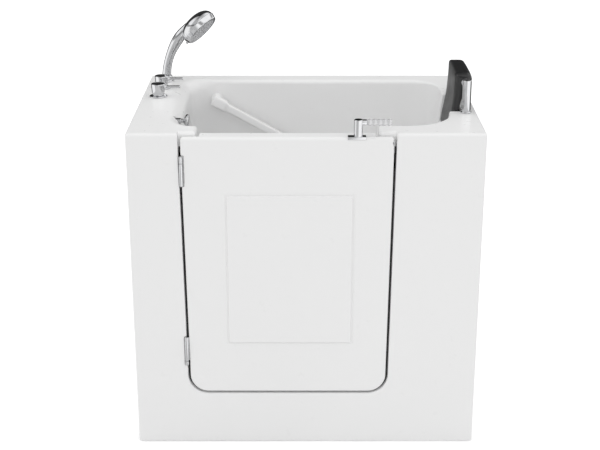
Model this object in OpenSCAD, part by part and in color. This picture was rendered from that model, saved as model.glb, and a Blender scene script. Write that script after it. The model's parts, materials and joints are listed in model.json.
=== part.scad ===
// Walk-in bathtub with an outward-opening door, in millimetres.
// X runs along the tub with the seat at +X, the door faces -Y, and Z is up from the floor.

/* [Tub shell] */
// Overall length of the tub
tub_l = 991; // [960:1:1200]
// Overall depth of the tub, front to back
tub_d = 686; // [670:1:800]
// Height of the deck above the floor
deck_h = 953; // [920:1:1050]
// Wall of the moulded shell
shell_t = 8; // [5:0.5:9]
// Radius of the deck's front edge
deck_edge_r = 9; // [3:0.5:14]
// Depth of the skirt below the deck at the ends and back
skirt_h = 48; // [38:1:80]
// Gap between the floor and the front apron
apron_gap = 4; // [2:0.5:12]

/* [Basin] */
// Width of the deck at the tap end
ledge_left = 96; // [90:1:120]
// Width of the deck at the headrest end
ledge_right = 73; // [68:1:85]
// Width of the deck at the front
ledge_front = 80; // [76:1:90]
// Width of the deck at the back
ledge_back = 61; // [40:1:80]
// Roll from the deck into the tap-end wall
left_roll_r = 38; // [30:1:44]
// Roll from the deck into the backrest
right_roll_r = 6; // [5:1:16]
// Roll from the deck into the front and back walls
side_roll_r = 12; // [9:1:16]
// Radius of the basin's soft corner by the door's latch
corner_latch_r = 160; // [120:1:180]
// Radius of the basin's soft corner behind the headrest
corner_rest_r = 115; // [80:1:140]
// Radius of the basin's soft corner behind the hand shower
corner_shower_r = 88; // [60:1:120]
// Radius of the basin's soft corner by the door's hinges
corner_hinge_r = 135; // [110:1:170]
// Slope of the backrest wall from upright, in degrees
backrest_lean = 7.5; // [4:0.5:10]
// Height of the footwell floor
floor_h = 150; // [140:1:165]
// Height of the seat
seat_h = 560; // [500:1:600]
// Seat from its front edge to the backrest
seat_depth = 355; // [320:1:380]
// Inside radius where walls meet the floor
cove_r = 34; // [15:1:45]
// Outside radius of the seat's front edge
seat_nose_r = 28; // [12:1:40]

/* [Door] */
// Middle of the door from the middle of the tub
door_x = -51.5; // [-58:0.5:-46]
// Door width half way up, from gap to gap
door_w = 585; // [578:1:592]
// How much wider the door is at the deck than at the sill
door_taper = 20; // [12:1:24]
// Height of the gap under the door
sill_h = 165; // [160:1:180]
// Width of the gap around the door
door_gap = 6.5; // [5:0.25:8]
// Plan radius of the door's lower corners
door_corner_r = 55; // [50:1:70]
// Thickness of the door's outer panel
door_t = 16; // [15:0.5:17]
// Depth of the recess that the door closes into
recess_d = 20; // [19:0.5:22]
// Width of the sealing lip inside the recess
lip_w = 45; // [42:1:50]
// Gap between the doorway and the plug of the door
plug_gap = 8; // [7:0.5:11]
// Depth of the plug from the front face
plug_d = 57; // [50:1:62]
// Drop of the door's top below the deck
door_drop = 11; // [9:0.5:13]
// Wall of the door's inner liner
liner_t = 5; // [3:0.5:7]
// Width of the raised field on the door
field_w = 351; // [250:1:400]
// Height of the raised field
field_h = 444; // [300:1:500]
// Height of the raised field's middle above the floor
field_z = 550; // [500:1:580]
// Rise of the field above the door's face
field_rise = 4.5; // [1:0.5:6]
// Width of the door seal
seal_w = 14; // [10:0.5:24]

/* [Hinges] */
// Distance of the hinge axis in front of the front face
hinge_out = 1; // [0.5:0.25:2]
// Radius of the hinge barrel
barrel_r = 6; // [5:0.25:6.5]
// Height of the upper hinge's middle
upper_hinge_z = 846; // [820:1:860]
// Length of the upper hinge
upper_hinge_l = 84; // [78:1:100]
// Height of the lower hinge's middle
lower_hinge_z = 299; // [290:1:330]
// Length of the lower hinge
lower_hinge_l = 86; // [80:1:100]
// Radius of the hinge pins
hinge_pin_r = 3; // [2.5:0.25:3.5]

/* [Latch] */
// Distance of the latch spindle from the middle of the tub
latch_x = 143; // [138:0.5:148]
// Reach of the latch lever from its spindle
lever_reach = 91; // [80:1:92]
// Radius of the latch post
post_r = 12.5; // [10:0.5:13]
// Height of the lever's middle above the deck
lever_rise = 31; // [26:0.5:36]
// Radius of the lever's grip
grip_r = 9.3; // [8:0.1:10.5]
// Travel of the latch bolt
bolt_throw = 16; // [12:1:18]
// Height of the bolt
bolt_h = 20; // [17:0.5:24]

/* [Taps and shower] */
// Distance of the taps from the tap end
tap_inset = 50; // [46:0.5:56]
// Place of the hot tap behind the middle of the tub
hot_y = 69; // [62:1:76]
// Place of the cold tap behind the middle of the tub
cold_y = 172; // [166:1:178]
// Radius of the tap handles at the top
tap_r = 21; // [18:0.5:23]
// Height of the tap handles
tap_h = 36; // [30:1:42]
// Length of the tap levers beyond the handle
tap_lever_l = 46; // [34:1:50]
// Place of the shower dock from the tap end
dock_inset = 56.5; // [54:0.5:62]
// Place of the shower dock behind the middle of the tub
dock_y = 267; // [258:1:272]
// Height of the shower dock above the deck
dock_h = 19; // [14:1:26]
// Radius of the shower's tail in the dock
tail_r = 12; // [10:0.25:12.5]
// Radius of the shower head
head_r = 60.5; // [54:0.5:64]

/* [Headrest] */
// Length of the headrest pad
pad_l = 194; // [160:1:200]
// Distance between the headrest posts
post_gap = 242; // [240:1:260]
// Radius of the headrest posts
rest_post_r = 13; // [11:0.5:14]
// Height of the headrest posts
rest_post_h = 97; // [94:1:110]
// Height of the headrest's tilting rod above the deck
rod_rise = 85; // [80:1:88]
// Radius of the headrest's tilting rod
rod_r = 5; // [4:0.25:6]
// Depth of the pad's lower end below the deck
pad_drop = 84; // [60:1:96]

/* [Drain and grab bar] */
// Distance of the drain from the tap-end wall of the footwell
drain_inset = 161; // [146:1:175]
// Radius of the drain's flange
drain_r = 35; // [32:1:40]
// Radius of the waste outlet
outlet_r = 19.05; // [18:0.05:20]
// Height of the drain knob below the deck
knob_drop = 18; // [16.5:0.5:20]
// Place of the drain knob in front of the middle of the tub
knob_y = 142; // [130:1:155]
// Radius of the drain knob
knob_r = 19.5; // [16:0.5:21]
// Length of the grab bar
bar_l = 400; // [320:1:440]
// Radius of the grab bar
bar_r = 14; // [11:0.5:15]
// Clear space between the grab bar and the wall
bar_gap = 24; // [20:1:32]
// Slope of the grab bar, in degrees
bar_slope = 29.5; // [20:0.5:35]

/* [Frame and feet] */
// Side of the square frame tube
tube_s = 25; // [20:1:30]
// Wall of the frame tube
tube_t = 2; // [1.5:0.25:3]
// Height of the frame's underside
frame_z = 55; // [48:1:62]
// Radius of the levelling studs
stud_r = 6; // [5:0.5:7]
// Radius of the foot pads
foot_r = 22; // [18:1:28]
// Height of the foot pads
foot_h = 12; // [8:1:16]
// Thickness of the end panels
panel_t = 4; // [3:0.5:6]

/* [Hidden] */

$fn = 48;

// Fits used throughout
run = 0.05;      // radial clearance of a shaft that turns or slides in its hole
slip = 0.3;      // clearance of a piece that is set into a pocket
over = 1;        // how far a cut runs past the face that it opens

// Sides of the tub and of the basin
x_left = -tub_l / 2;
x_right = tub_l / 2;
y_front = -tub_d / 2;
y_back = tub_d / 2;
bx0 = x_left + ledge_left;
bx1 = x_right - ledge_right;
by0 = y_front + ledge_front;
by1 = y_back - ledge_back;
wall_left = bx0 + left_roll_r;
wall_right = bx1 - right_roll_r;
seat_back_x = wall_right - (deck_h - right_roll_r - seat_h) * tan(backrest_lean);
riser_x = seat_back_x - seat_depth;

// Door levels and depths
door_top = deck_h - door_drop;
lip_y = y_front + recess_d;
door_back = y_front + door_t;
plug_back = y_front + plug_d;
plug_r = door_corner_r - 10;
lining_drop = 0.5;
hinge_y = y_front - hinge_out;
// The hinge axis stands on the middle of the gap, half way between the two hinges
hinge_x = door_x - gap_half((upper_hinge_z + lower_hinge_z) / 2) - 1;
leaf_t = 2.2;
leaf_play = 0.4;
pin_head = 1.8;

// Latch
spindle_y = y_front + door_t / 2;
spindle_r = 4.5;
bolt_t = 8;
bolt_z = door_top - 27;
finger_l = 21;
finger_r = 4;
tail_x = latch_x + 11;
base_top = deck_h - 8;
base_z = base_top - 9;
base_x0 = latch_x - 29;
base_x1 = latch_x + 22;
lever_z = deck_h + lever_rise;
edge_x = door_x + gap_half(bolt_z) - door_gap / 2;
faceplate_t = 2;
bolt_set = 3;    // how far the drawn bolt stands back from the door's edge
keeper_t = 2.5;

// Taps and shower
tap_x = x_left + tap_inset;
dock_x = x_left + dock_inset;
valve_r = 13;
stem_r = 5;
escutcheon_r = 27;
escutcheon_t = 4;
inlet_r = 10.67;
valve_drop = 66;
inlet_l = 26;
dock_r = 17;
dock_tube_r = tail_r + 3;
dock_drop = 42;
head_tilt = 46.5;
head_yaw = 17;
head_reach = 105.5;
head_rise = 154;
ring_h = 18;
ring_wall = 12;
ring_taper = 5;
head_x = dock_x + head_reach;
head_z = deck_h + dock_h + head_rise;

// Headrest
rod_x = x_right - 35;
rod_z = deck_h + rod_rise;
rest_x = x_right - 32.5;
pad_face = bx1 + 8;

// Drain and overflow
drain_x = wall_left + drain_inset;
drain_neck_r = 23;
knob_z = deck_h - knob_drop;
knob_stem_r = 6;
collar_r = 10.5;
elbow_r = 8.5;
pipe_x = wall_left - shell_t - 34;
pipe_r = 14;
pipe_t = 2;
waste_z = 108;

// Grab bar, from its upper end on the back wall
bar_x = bx0 + 119;
bar_z = deck_h - 59;
bar_foot_r = bar_r + 4;

// Frame
fr_x = tub_l / 2 - shell_t - 5;
// The frame stands in from the apron, so that the foot pads clear it
fr_inset = max(4, foot_r - tube_s / 2 + 2);
fr_y0 = y_front + shell_t + fr_inset;
fr_y1 = y_back - shell_t - 4;
fr_top = frame_z + tube_s;
foot_x = fr_x - tube_s / 2;
foot_y = [fr_y0 + tube_s / 2, fr_y1 - tube_s / 2];
support_x = [drain_x - 90, drain_x + 95];
support_inset = 90;
panel_screw_z = [140, 500, deck_h - 120];

function arc(cx, cy, r, a0, a1, n = 8) =
    [for (i = [0:n]) let (a = a0 + (a1 - a0) * i / n) [cx + r * cos(a), cy + r * sin(a)]];

// Half the distance between the middles of the two side gaps, at a height
function gap_half(z) =
    door_w / 2 + door_taper / 2 * ((z - sill_h) / (deck_h - sill_h) - 0.5);

// Outline of the door in X and Z, o outside the middle of the gap, with lower corners of radius r
function door_outline(o, r, top) = let (
        bottom = sill_h - o,
        half_top = gap_half(top) + o,
        half_bottom = gap_half(bottom + r) + o
    ) concat(
        [[door_x + half_top, top], [door_x - half_top, top]],
        arc(door_x - half_bottom + r, bottom + r, r, 180, 270),
        arc(door_x + half_bottom - r, bottom + r, r, 270, 360)
    );

// Points of a tube swept along a path, with one radius for each point of the path
function unit(v) = v / norm(v);
function path_dir(p, i) = unit(p[min(i + 1, len(p) - 1)] - p[max(i - 1, 0)]);
function ring_points(p, r, sides) = [
    for (i = [0:len(p) - 1])
    let (
        t = path_dir(p, i),
        u = unit(cross(t, abs(t[1]) > 0.9 ? [0, 0, 1] : [0, 1, 0])),
        v = cross(t, u)
    )
    for (k = [0:sides - 1]) let (a = 360 * k / sides) p[i] + r[i] * (cos(a) * u + sin(a) * v)
];
function ring_faces(rings, sides) = concat(
    [[for (k = [0:sides - 1]) k]],
    [for (i = [0:rings - 2], k = [0:sides - 1]) let (
        a = i * sides + k,
        b = i * sides + (k + 1) % sides
    ) each [[a, a + sides, b], [b, a + sides, b + sides]]],
    [[for (k = [sides - 1:-1:0]) (rings - 1) * sides + k]]
);

module swept_tube(path, radii, sides) {
    polyhedron(
        points = ring_points(path, radii, sides),
        faces = ring_faces(len(path), sides)
    );
}

// An X-Z outline carried from one Y to another
module along_y(y0, y1) {
    translate([0, y1, 0]) rotate([90, 0, 0]) linear_extrude(y1 - y0) children();
}

// A Y-Z outline carried from one X to another
module along_x(x0, x1) {
    translate([x0, 0, 0]) rotate([90, 0, 90]) linear_extrude(x1 - x0) children();
}

module box(a, b) {
    translate(a) cube(b - a);
}

module round_rect(x0, y0, x1, y1, r) {
    translate([x0 + r, y0]) square([x1 - x0 - 2 * r, y1 - y0]);
    translate([x0, y0 + r]) square([x1 - x0, y1 - y0 - 2 * r]);
    for (x = [x0 + r, x1 - r], y = [y0 + r, y1 - r]) translate([x, y]) circle(r, $fn = 64);
}

module x_rod(p, r, l) {
    translate(p) rotate([0, 90, 0]) cylinder(r = r, h = l);
}

module y_rod(p, r, l) {
    translate(p) rotate([-90, 0, 0]) cylinder(r = r, h = l);
}

module z_ring(z, outer, inner, h) {
    translate([0, 0, z]) difference() {
        cylinder(r = outer, h = h);
        translate([0, 0, -over]) cylinder(r = inner, h = h + 2 * over);
    }
}

// ---------------------------------------------------------------- tub shell

// Basin in X and Z: tap-end wall, footwell, seat and backrest. g grows it outwards
module basin_length_outline(g) {
    inside = g == 0;
    polygon(concat(
        inside ? [[bx1, deck_h + over], [bx0, deck_h + over]]
            : [[wall_right + g, deck_h], [bx0, deck_h]],
        arc(bx0, deck_h - left_roll_r, left_roll_r - g, 90, 0),
        arc(wall_left - g + cove_r + g, floor_h - g + cove_r + g, cove_r + g, 180, 270),
        arc(riser_x + g - cove_r - g, floor_h - g + cove_r + g, cove_r + g, 270, 360),
        arc(riser_x + seat_nose_r, seat_h - seat_nose_r, seat_nose_r - g, 180, 90),
        arc(seat_back_x - cove_r, seat_h + cove_r, cove_r + g, 270, 360 - backrest_lean),
        inside ? arc(bx1, deck_h - right_roll_r, right_roll_r, 180, 90) : []
    ));
}

// Basin in Y and Z: front and back walls
module basin_width_outline(g) {
    inside = g == 0;
    y0 = by0 + side_roll_r;
    y1 = by1 - side_roll_r;
    r = side_roll_r;
    polygon(concat(
        inside ? [[by1, deck_h + over], [by0, deck_h + over]] : [[y1 + g, deck_h], [y0 - g, deck_h]],
        inside ? arc(by0, deck_h - r, r, 90, 0) : [],
        arc(y0 + cove_r, floor_h + cove_r, cove_r + g, 180, 270),
        arc(y1 - cove_r, floor_h + cove_r, cove_r + g, 270, 360),
        inside ? arc(by1, deck_h - r, r, 180, 90) : []
    ));
}

// A quarter turn that is fuller than a circle's, as on the moulded rim
corner_power = 2.35;
function full(v) = sign(v) * pow(abs(v), 2 / corner_power);
function soft_corner(cx, cy, r, a0, n = 12) = [
    for (i = [0:n]) let (a = a0 + 90 * i / n) [cx + r * full(cos(a)), cy + r * full(sin(a))]
];

module basin_plan(g) {
    polygon(concat(
        soft_corner(bx1 - corner_rest_r, by1 - corner_rest_r, corner_rest_r + g, 0),
        soft_corner(bx0 + corner_shower_r, by1 - corner_shower_r, corner_shower_r + g, 90),
        soft_corner(bx0 + corner_hinge_r, by0 + corner_hinge_r, corner_hinge_r + g, 180),
        soft_corner(bx1 - corner_latch_r, by0 + corner_latch_r, corner_latch_r + g, 270)
    ));
}

module basin_form(g) {
    intersection() {
        along_y(by0 - 2 * g, by1 + 2 * g) basin_length_outline(g);
        along_x(bx0 - 2 * g, bx1 + 2 * g) basin_width_outline(g);
        translate([0, 0, floor_h - 2 * g - over])
            linear_extrude(deck_h - floor_h + 2 * g + 3 * over)
                basin_plan(g);
    }
}

// Deck, apron and skirts, before the basin and doorway are cut
module deck_box() {
    r = deck_edge_r;
    difference() {
        along_x(x_left, x_right) polygon(concat(
            [[y_back, apron_gap], [y_back, deck_h]],
            arc(y_front + r, deck_h - r, r, 90, 180),
            [[y_front, apron_gap]]
        ));
        // service space under the deck
        box([x_left + shell_t, y_front + shell_t, -over],
            [x_right - shell_t, y_back - shell_t, deck_h - shell_t]);
        // open ends and back below the skirt
        box([x_left - over, y_front + shell_t, -over],
            [x_right + over, y_back + over, deck_h - skirt_h]);
    }
}

module recess_cut() {
    along_y(y_front - over, lip_y)
        polygon(door_outline(door_gap / 2, door_corner_r + door_gap / 2, deck_h + over));
}

// Opens into the basin above the seat and over the footwell, and stops at a wall under the seat
module doorway_cut() {
    along_y(y_front - over, by0)
        polygon(door_outline(-lip_w, plug_r, deck_h + over));
    along_y(by0 - over, by0 + side_roll_r + over) intersection() {
        polygon(door_outline(-lip_w, plug_r, deck_h + over));
        basin_length_outline(0);
    }
}

// Rounds the lips' top front edge
module lip_edge_cut() {
    r = 11;
    along_x(door_x - gap_half(deck_h) - door_gap / 2, door_x + gap_half(deck_h) + door_gap / 2)
        difference() {
            translate([lip_y - over, deck_h - r]) square([r + over, r + over]);
            translate([lip_y + r, deck_h - r]) circle(r);
        }
}

module recess_seat() {
    along_y(y_front + over, lip_y + shell_t)
        polygon(door_outline(door_gap / 2 + shell_t, door_corner_r + door_gap / 2 + shell_t,
            deck_h - lining_drop));
}

module headrest_recess(g) {
    translate([0, 0, deck_h - pad_drop - 4 - g])
        linear_extrude(pad_drop + 4 + g + (g > 0 ? 0 : over))
            round_rect(seat_back_x, -pad_l / 2 - 2.5 - g, bx1 + 28 + g, pad_l / 2 + 2.5 + g, 6 + g);
}

module hinge_notch(z, l) {
    translate([hinge_x, hinge_y, z - l / 2 - pin_head - 0.5])
        cylinder(r = barrel_r + 0.5, h = l + 2 * pin_head + 1);
}

module frame_screw_holes() {
    for (h = hinge_screw_heights())
        x_rod([hinge_x - 20, leaf_screw_y, h], 2.1, 30);
}

function hinge_screw_heights() = [
    for (c = [[upper_hinge_z, upper_hinge_l], [lower_hinge_z, lower_hinge_l]], s = [-1, 1])
        c[0] + s * c[1] * 0.3
];
leaf_screw_y = y_front + 13;

module keeper_pocket(g) {
    box([recess_x(bolt_z) - (g > 0 ? over : 0), spindle_y - 7 - g, bolt_z - bolt_h / 2 - 9 - g],
        [recess_x(bolt_z) + keeper_t + g, spindle_y + 7 + g, bolt_z + bolt_h / 2 + 9 + g]);
}

function recess_x(z) = door_x + gap_half(z) + door_gap / 2;

module bolt_hole(g) {
    box([recess_x(bolt_z) - 2 * over, spindle_y - bolt_t / 2 - g, bolt_z - bolt_h / 2 - g],
        [recess_x(bolt_z) + shell_t + bolt_throw, spindle_y + bolt_t / 2 + g,
            bolt_z + bolt_h / 2 + g]);
}

module tub_shell() {
    color([0.9, 0.9, 0.91]) difference() {
        union() {
            deck_box();
            basin_form(shell_t);
            recess_seat();
            // lining of the doorway
            along_y(lip_y, by0 + side_roll_r + shell_t)
                polygon(door_outline(-lip_w + shell_t, plug_r + shell_t, deck_h - lining_drop));
            intersection() {
                headrest_recess(shell_t);
                box([bx0, by0, seat_h + 50], [x_right - shell_t, by1, deck_h]);
            }
        }
        basin_form(0);
        headrest_recess(0);
        recess_cut();
        doorway_cut();
        lip_edge_cut();
        hinge_notch(upper_hinge_z, upper_hinge_l);
        hinge_notch(lower_hinge_z, lower_hinge_l);
        frame_screw_holes();
        keeper_pocket(slip);
        bolt_hole(0.6);
        for (y = [hot_y, cold_y])
            translate([tap_x, y, deck_h - skirt_h]) cylinder(r = valve_r + slip, h = skirt_h + over);
        translate([dock_x, dock_y, deck_h - skirt_h])
            cylinder(r = dock_tube_r + slip, h = skirt_h + over);
        for (s = [-1, 1])
            translate([rest_x, s * post_gap / 2, deck_h - skirt_h])
                cylinder(r = stud_hole_r, h = skirt_h + over);
        translate([drain_x, 0, 0]) cylinder(r = drain_neck_r + slip, h = floor_h + over);
        x_rod([wall_left - 60, -knob_y, knob_z], elbow_r + slip, 80);
        x_rod([collar_x, -knob_y, knob_z], collar_r + slip, 60);
        for (p = bar_feet()) y_rod([p[0], by1 - 2 * over - side_roll_r, p[1]], 3.2, 40);
    }
}
stud_hole_r = 5.2;
collar_x = wall_left - 16;
knob_gap = 16;

// ---------------------------------------------------------------- panels, frame and feet

module end_panel(x) {
    color([0.9, 0.9, 0.91]) difference() {
        box([x, y_front + shell_t + slip, apron_gap + 16],
            [x + panel_t, y_back, deck_h - skirt_h - slip]);
        for (y = foot_y, z = panel_screw_z) x_rod([x - over, y, z], 2.6, panel_t + 2 * over);
    }
}

module left_end_panel() {
    end_panel(x_left);
}

module right_end_panel() {
    end_panel(x_right - panel_t);
}

module panel_screws() {
    color([0.8, 0.8, 0.82]) for (side = [-1, 1], y = foot_y, z = panel_screw_z)
        translate([side * tub_l / 2, y, z]) rotate([0, -side * 90, 0]) {
            translate([0, 0, -1.6]) cylinder(r = 5, h = 1.6);
            cylinder(r = 2.4, h = screw_reach - 0.05);
        }
}
screw_reach = tub_l / 2 - fr_x;

// Welded ring of square tube with two cross bars under the footwell and one under the seat
module base_frame() {
    color([0.45, 0.47, 0.5]) difference() {
        union() {
            for (y = [fr_y0, fr_y1 - tube_s])
                box([-fr_x, y, frame_z], [fr_x, y + tube_s, fr_top]);
            for (x = concat([-fr_x, fr_x - tube_s, seat_bar_x], support_x))
                box([x, fr_y0 + tube_s - 0.01, frame_z],
                    [x + tube_s, fr_y1 - tube_s + 0.01, fr_top]);
        }
        for (x = [-foot_x, seat_bar_x + tube_s / 2, foot_x], y = foot_y)
            translate([x, y, frame_z - over]) cylinder(r = stud_r + slip, h = tube_s + 2 * over);
        for (y = [fr_y0, fr_y1 - tube_s])
            box([-fr_x - over, y + tube_t, frame_z + tube_t],
                [fr_x + over, y + tube_s - tube_t, fr_top - tube_t]);
    }
}
seat_bar_x = 150;

module frame_uprights() {
    color([0.45, 0.47, 0.5]) difference() {
        for (x = [-fr_x, fr_x - tube_s], y = [fr_y0, fr_y1 - tube_s]) difference() {
            box([x, y, fr_top], [x + tube_s, y + tube_s, deck_h - shell_t]);
            box([x + tube_t, y + tube_t, fr_top - over],
                [x + tube_s - tube_t, y + tube_s - tube_t, deck_h - shell_t + over]);
        }
        for (x = [-foot_x, foot_x], y = foot_y)
            translate([x, y, fr_top - over]) cylinder(r = stud_r + 1, h = 30);
    }
}

module floor_supports() {
    color([0.45, 0.47, 0.5]) for (x = support_x, y = [by0 + support_inset, by1 - support_inset - tube_s])
        box([x, y, fr_top], [x + tube_s, y + tube_s, floor_h - shell_t]);
}

module seat_supports() {
    color([0.45, 0.47, 0.5]) {
        for (y = [by0 + support_inset, by1 - support_inset - tube_s])
            box([seat_bar_x, y, fr_top], [seat_bar_x + tube_s, y + tube_s,
                seat_h - shell_t - tube_s]);
        box([seat_bar_x, by0 + 40, seat_h - shell_t - tube_s],
            [seat_bar_x + tube_s, by1 - 40, seat_h - shell_t]);
    }
}

module at_feet() {
    for (x = [-foot_x, seat_bar_x + tube_s / 2, foot_x], y = foot_y) translate([x, y, 0]) children();
}

module levelling_studs() {
    color([0.75, 0.76, 0.78]) at_feet()
        translate([0, 0, foot_h]) cylinder(r = stud_r, h = fr_top - foot_h - 1);
}

module lock_nuts() {
    nut_h = 8;
    color([0.75, 0.76, 0.78]) at_feet() translate([0, 0, frame_z - nut_h]) difference() {
        cylinder(r = stud_r * 1.85, h = nut_h, $fn = 6);
        translate([0, 0, -over]) cylinder(r = stud_r + run, h = nut_h + 2 * over);
    }
}

module foot_pads() {
    color([0.12, 0.12, 0.13]) at_feet() {
        cylinder(r = foot_r, h = foot_h * 0.5);
        translate([0, 0, foot_h * 0.5])
            cylinder(r1 = foot_r, r2 = stud_r + 4, h = foot_h * 0.5);
    }
}

// ---------------------------------------------------------------- grab bar

function bar_feet() = [
    [bar_x, bar_z],
    [bar_x + bar_l * cos(bar_slope), bar_z - bar_l * sin(bar_slope)]
];

wall_back = by1 - side_roll_r;
bar_axis_y = wall_back - bar_gap - bar_r;

module grab_bar() {
    color([0.9, 0.9, 0.91]) difference() {
        union() {
            translate([bar_x, bar_axis_y, bar_z]) {
                rotate([0, 90 + bar_slope, 0]) cylinder(r = bar_r, h = bar_l);
            }
            for (p = bar_feet()) {
                translate([p[0], bar_axis_y, p[1]]) sphere(bar_r + 0.02);
                y_rod([p[0], bar_axis_y, p[1]], bar_r + 0.02, wall_back - bar_axis_y - 8);
                y_rod([p[0], wall_back - 8, p[1]], bar_foot_r, 8);
            }
        }
        for (p = bar_feet()) y_rod([p[0], bar_axis_y + 4, p[1]], 3.2, bar_gap + bar_r);
    }
}

module grab_bar_screws() {
    color([0.8, 0.8, 0.82]) for (p = bar_feet()) {
        y_rod([p[0], bar_axis_y + 6, p[1]], 3, wall_back - bar_axis_y - 6 + shell_t + 0.02);
        y_rod([p[0], wall_back + shell_t, p[1]], 8, 5);
    }
}

// ---------------------------------------------------------------- door and hinges

seal_reach = door_gap / 2 - 0.75;

module door_seal() {
    seal_y = lip_y - (recess_d - door_t) + slip;
    color([0.2, 0.2, 0.21]) difference() {
        along_y(seal_y, lip_y) {
            polygon(door_outline(seal_reach, door_corner_r + seal_reach, door_top - 45));
            polygon(door_outline(-8, plug_r + 20, door_top - 12));
        }
        along_y(seal_y - over, lip_y + over)
            polygon(door_outline(-8 - seal_w, plug_r + 6, door_top));
    }
}

module rounded_top(top, y0, y1, r) {
    along_x(x_left, x_right) polygon(concat(
        [[y1, 0]],
        arc(y1 - r, top - r, r, 0, 90),
        arc(y0 + r, top - r, r, 90, 180),
        [[y0, 0]]
    ));
}

module latch_pocket() {
    // the finger sweeps a quarter turn, from behind the spindle to the bolt's tail
    intersection() {
        translate([latch_x, spindle_y, bolt_z - 8])
            cylinder(r = finger_l + finger_r + 1, h = 16);
        box([latch_x - 6, spindle_y - 4.6, bolt_z - 9], [latch_x + 40, spindle_y + 40, bolt_z + 9]);
    }
}

module door_panel() {
    o = -door_gap / 2;
    color([0.9, 0.9, 0.91]) difference() {
        union() {
            intersection() {
                along_y(y_front, door_back)
                    polygon(door_outline(o, door_corner_r + o, door_top));
                along_x(x_left, x_right) polygon(concat(
                    [[door_back, 0], [door_back, door_top]],
                    arc(y_front + 9, door_top - 9, 9, 90, 180),
                    [[y_front, 0]]
                ));
            }
            along_y(y_front - field_rise, y_front + over) polygon([
                [field_x - field_w / 2, field_z - field_h / 2],
                [field_x + field_w / 2, field_z - field_h / 2],
                [field_x + field_w / 2, field_z + field_h / 2],
                [field_x - field_w / 2, field_z + field_h / 2]
            ]);
        }
        hinge_notch(upper_hinge_z, upper_hinge_l);
        hinge_notch(lower_hinge_z, lower_hinge_l);
        for (h = hinge_screw_heights()) x_rod([hinge_x, leaf_screw_y, h], 2.1, 24);
        // pocket for the latch's base plate
        box([base_x0 - slip, y_front - 5, base_z], [base_x1 + slip, door_back + over, deck_h]);
        translate([latch_x, spindle_y, bolt_z - 10]) cylinder(r = spindle_r + run, h = 60);
        latch_pocket();
        // slot that the bolt slides in
        box([latch_x + 6, spindle_y - bolt_t / 2 - 0.1, bolt_z - bolt_h / 2 - 0.1],
            [edge_x + 5, spindle_y + bolt_t / 2 + 0.1, bolt_z + bolt_h / 2 + 0.1]);
        faceplate_form(slip);
    }
}
field_x = door_x + 6;

module faceplate_form(g) {
    box([edge_x - faceplate_t - g, spindle_y - 6 - g, bolt_z - bolt_h / 2 - 8 - g],
        [edge_x + (g > 0 ? 5 : 0) - 0.3, spindle_y + 6 + g, bolt_z + bolt_h / 2 + 8 + g]);
}

module plug_form(g) {
    o = -lip_w - plug_gap - g;
    intersection() {
        along_y(door_back - (g > 0 ? over : 0), plug_back - g)
            polygon(door_outline(o, plug_r - g, door_top - g));
        rounded_top(door_top - g, y_front - 20, plug_back - g, 9);
    }
}

module door_liner() {
    color([0.9, 0.9, 0.91]) difference() {
        plug_form(0);
        plug_form(liner_t);
        // room for the base plate
        box([base_x0 - slip, door_back - over, base_z - slip],
            [base_x1 + slip, base_back + slip, deck_h]);
    }
}
base_back = y_front + 20;

module door_core() {
    color([0.85, 0.78, 0.6]) difference() {
        intersection() {
            plug_form(liner_t + slip);
            box([x_left, door_back + slip, 0], [x_right, y_back, base_z - 2 * slip]);
        }
        box([latch_x - 12, door_back - over, bolt_z - 14],
            [latch_x + 40, spindle_y + finger_l + finger_r + 3, deck_h]);
    }
}

// One knuckle of a hinge between two heights, and the leaf that it carries into the gap.
// side is -1 for the leaf on the frame and 1 for the leaf on the door
module hinge_knuckle(z0, z1) {
    translate([hinge_x, hinge_y, z0]) difference() {
        cylinder(r = barrel_r, h = z1 - z0);
        translate([0, 0, -over]) cylinder(r = hinge_pin_r + run, h = z1 - z0 + 2 * over);
    }
}

// The leaf reaches from the barrel to the recess wall or the door's edge, whichever it is on
module hinge_leaf(side, z, l) {
    wall = side < 0 ? door_x - gap_half(z) - door_gap / 2 : door_x - gap_half(z) + door_gap / 2;
    lean = door_taper / 2 / (deck_h - sill_h);
    x_at = [for (s = [-1, 1]) wall - s * l / 2 * lean - side * 0.02];
    difference() {
        along_y(hinge_y + bridge_y1 + 1, leaf_screw_y + 2.6) polygon([
            [x_at[0], z - l / 2],
            [x_at[0] - side * leaf_t, z - l / 2],
            [x_at[1] - side * leaf_t, z + l / 2],
            [x_at[1], z + l / 2]
        ]);
        for (h = hinge_screw_heights()) x_rod([hinge_x - 20, leaf_screw_y, h], 2.1, 40);
    }
}

// The frame's knuckle is short and at one end, as on a lift-off hinge
module frame_leaf(z, l, share) {
    top = share > 0;
    k = l * abs(share);
    z0 = top ? z + l / 2 - k : z - l / 2;
    color([0.85, 0.86, 0.88]) difference() {
        union() {
            hinge_knuckle(z0, z0 + k);
            leaf_bridge(-1, z0 + 0.4, z0 + k - 0.4);
            hinge_leaf(-1, z, l - 4);
        }
        // the other knuckle turns here
        translate([hinge_x, hinge_y, top ? z - l / 2 - over : z0 + k])
            cylinder(r = barrel_r + leaf_play, h = l - k + over);
    }
}

module door_leaf(z, l, share) {
    top = share > 0;
    k = l * (1 - abs(share)) - leaf_play;
    z0 = top ? z - l / 2 : z + l / 2 - k;
    color([0.85, 0.86, 0.88]) difference() {
        union() {
            hinge_knuckle(z0, z0 + k);
            leaf_bridge(1, z0 + 0.4, z0 + k - 0.4);
            hinge_leaf(1, z, l - 4);
        }
        translate([hinge_x, hinge_y, top ? z0 + k : z - l / 2 - over])
            cylinder(r = barrel_r + leaf_play, h = l - k + over);
    }
}

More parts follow.
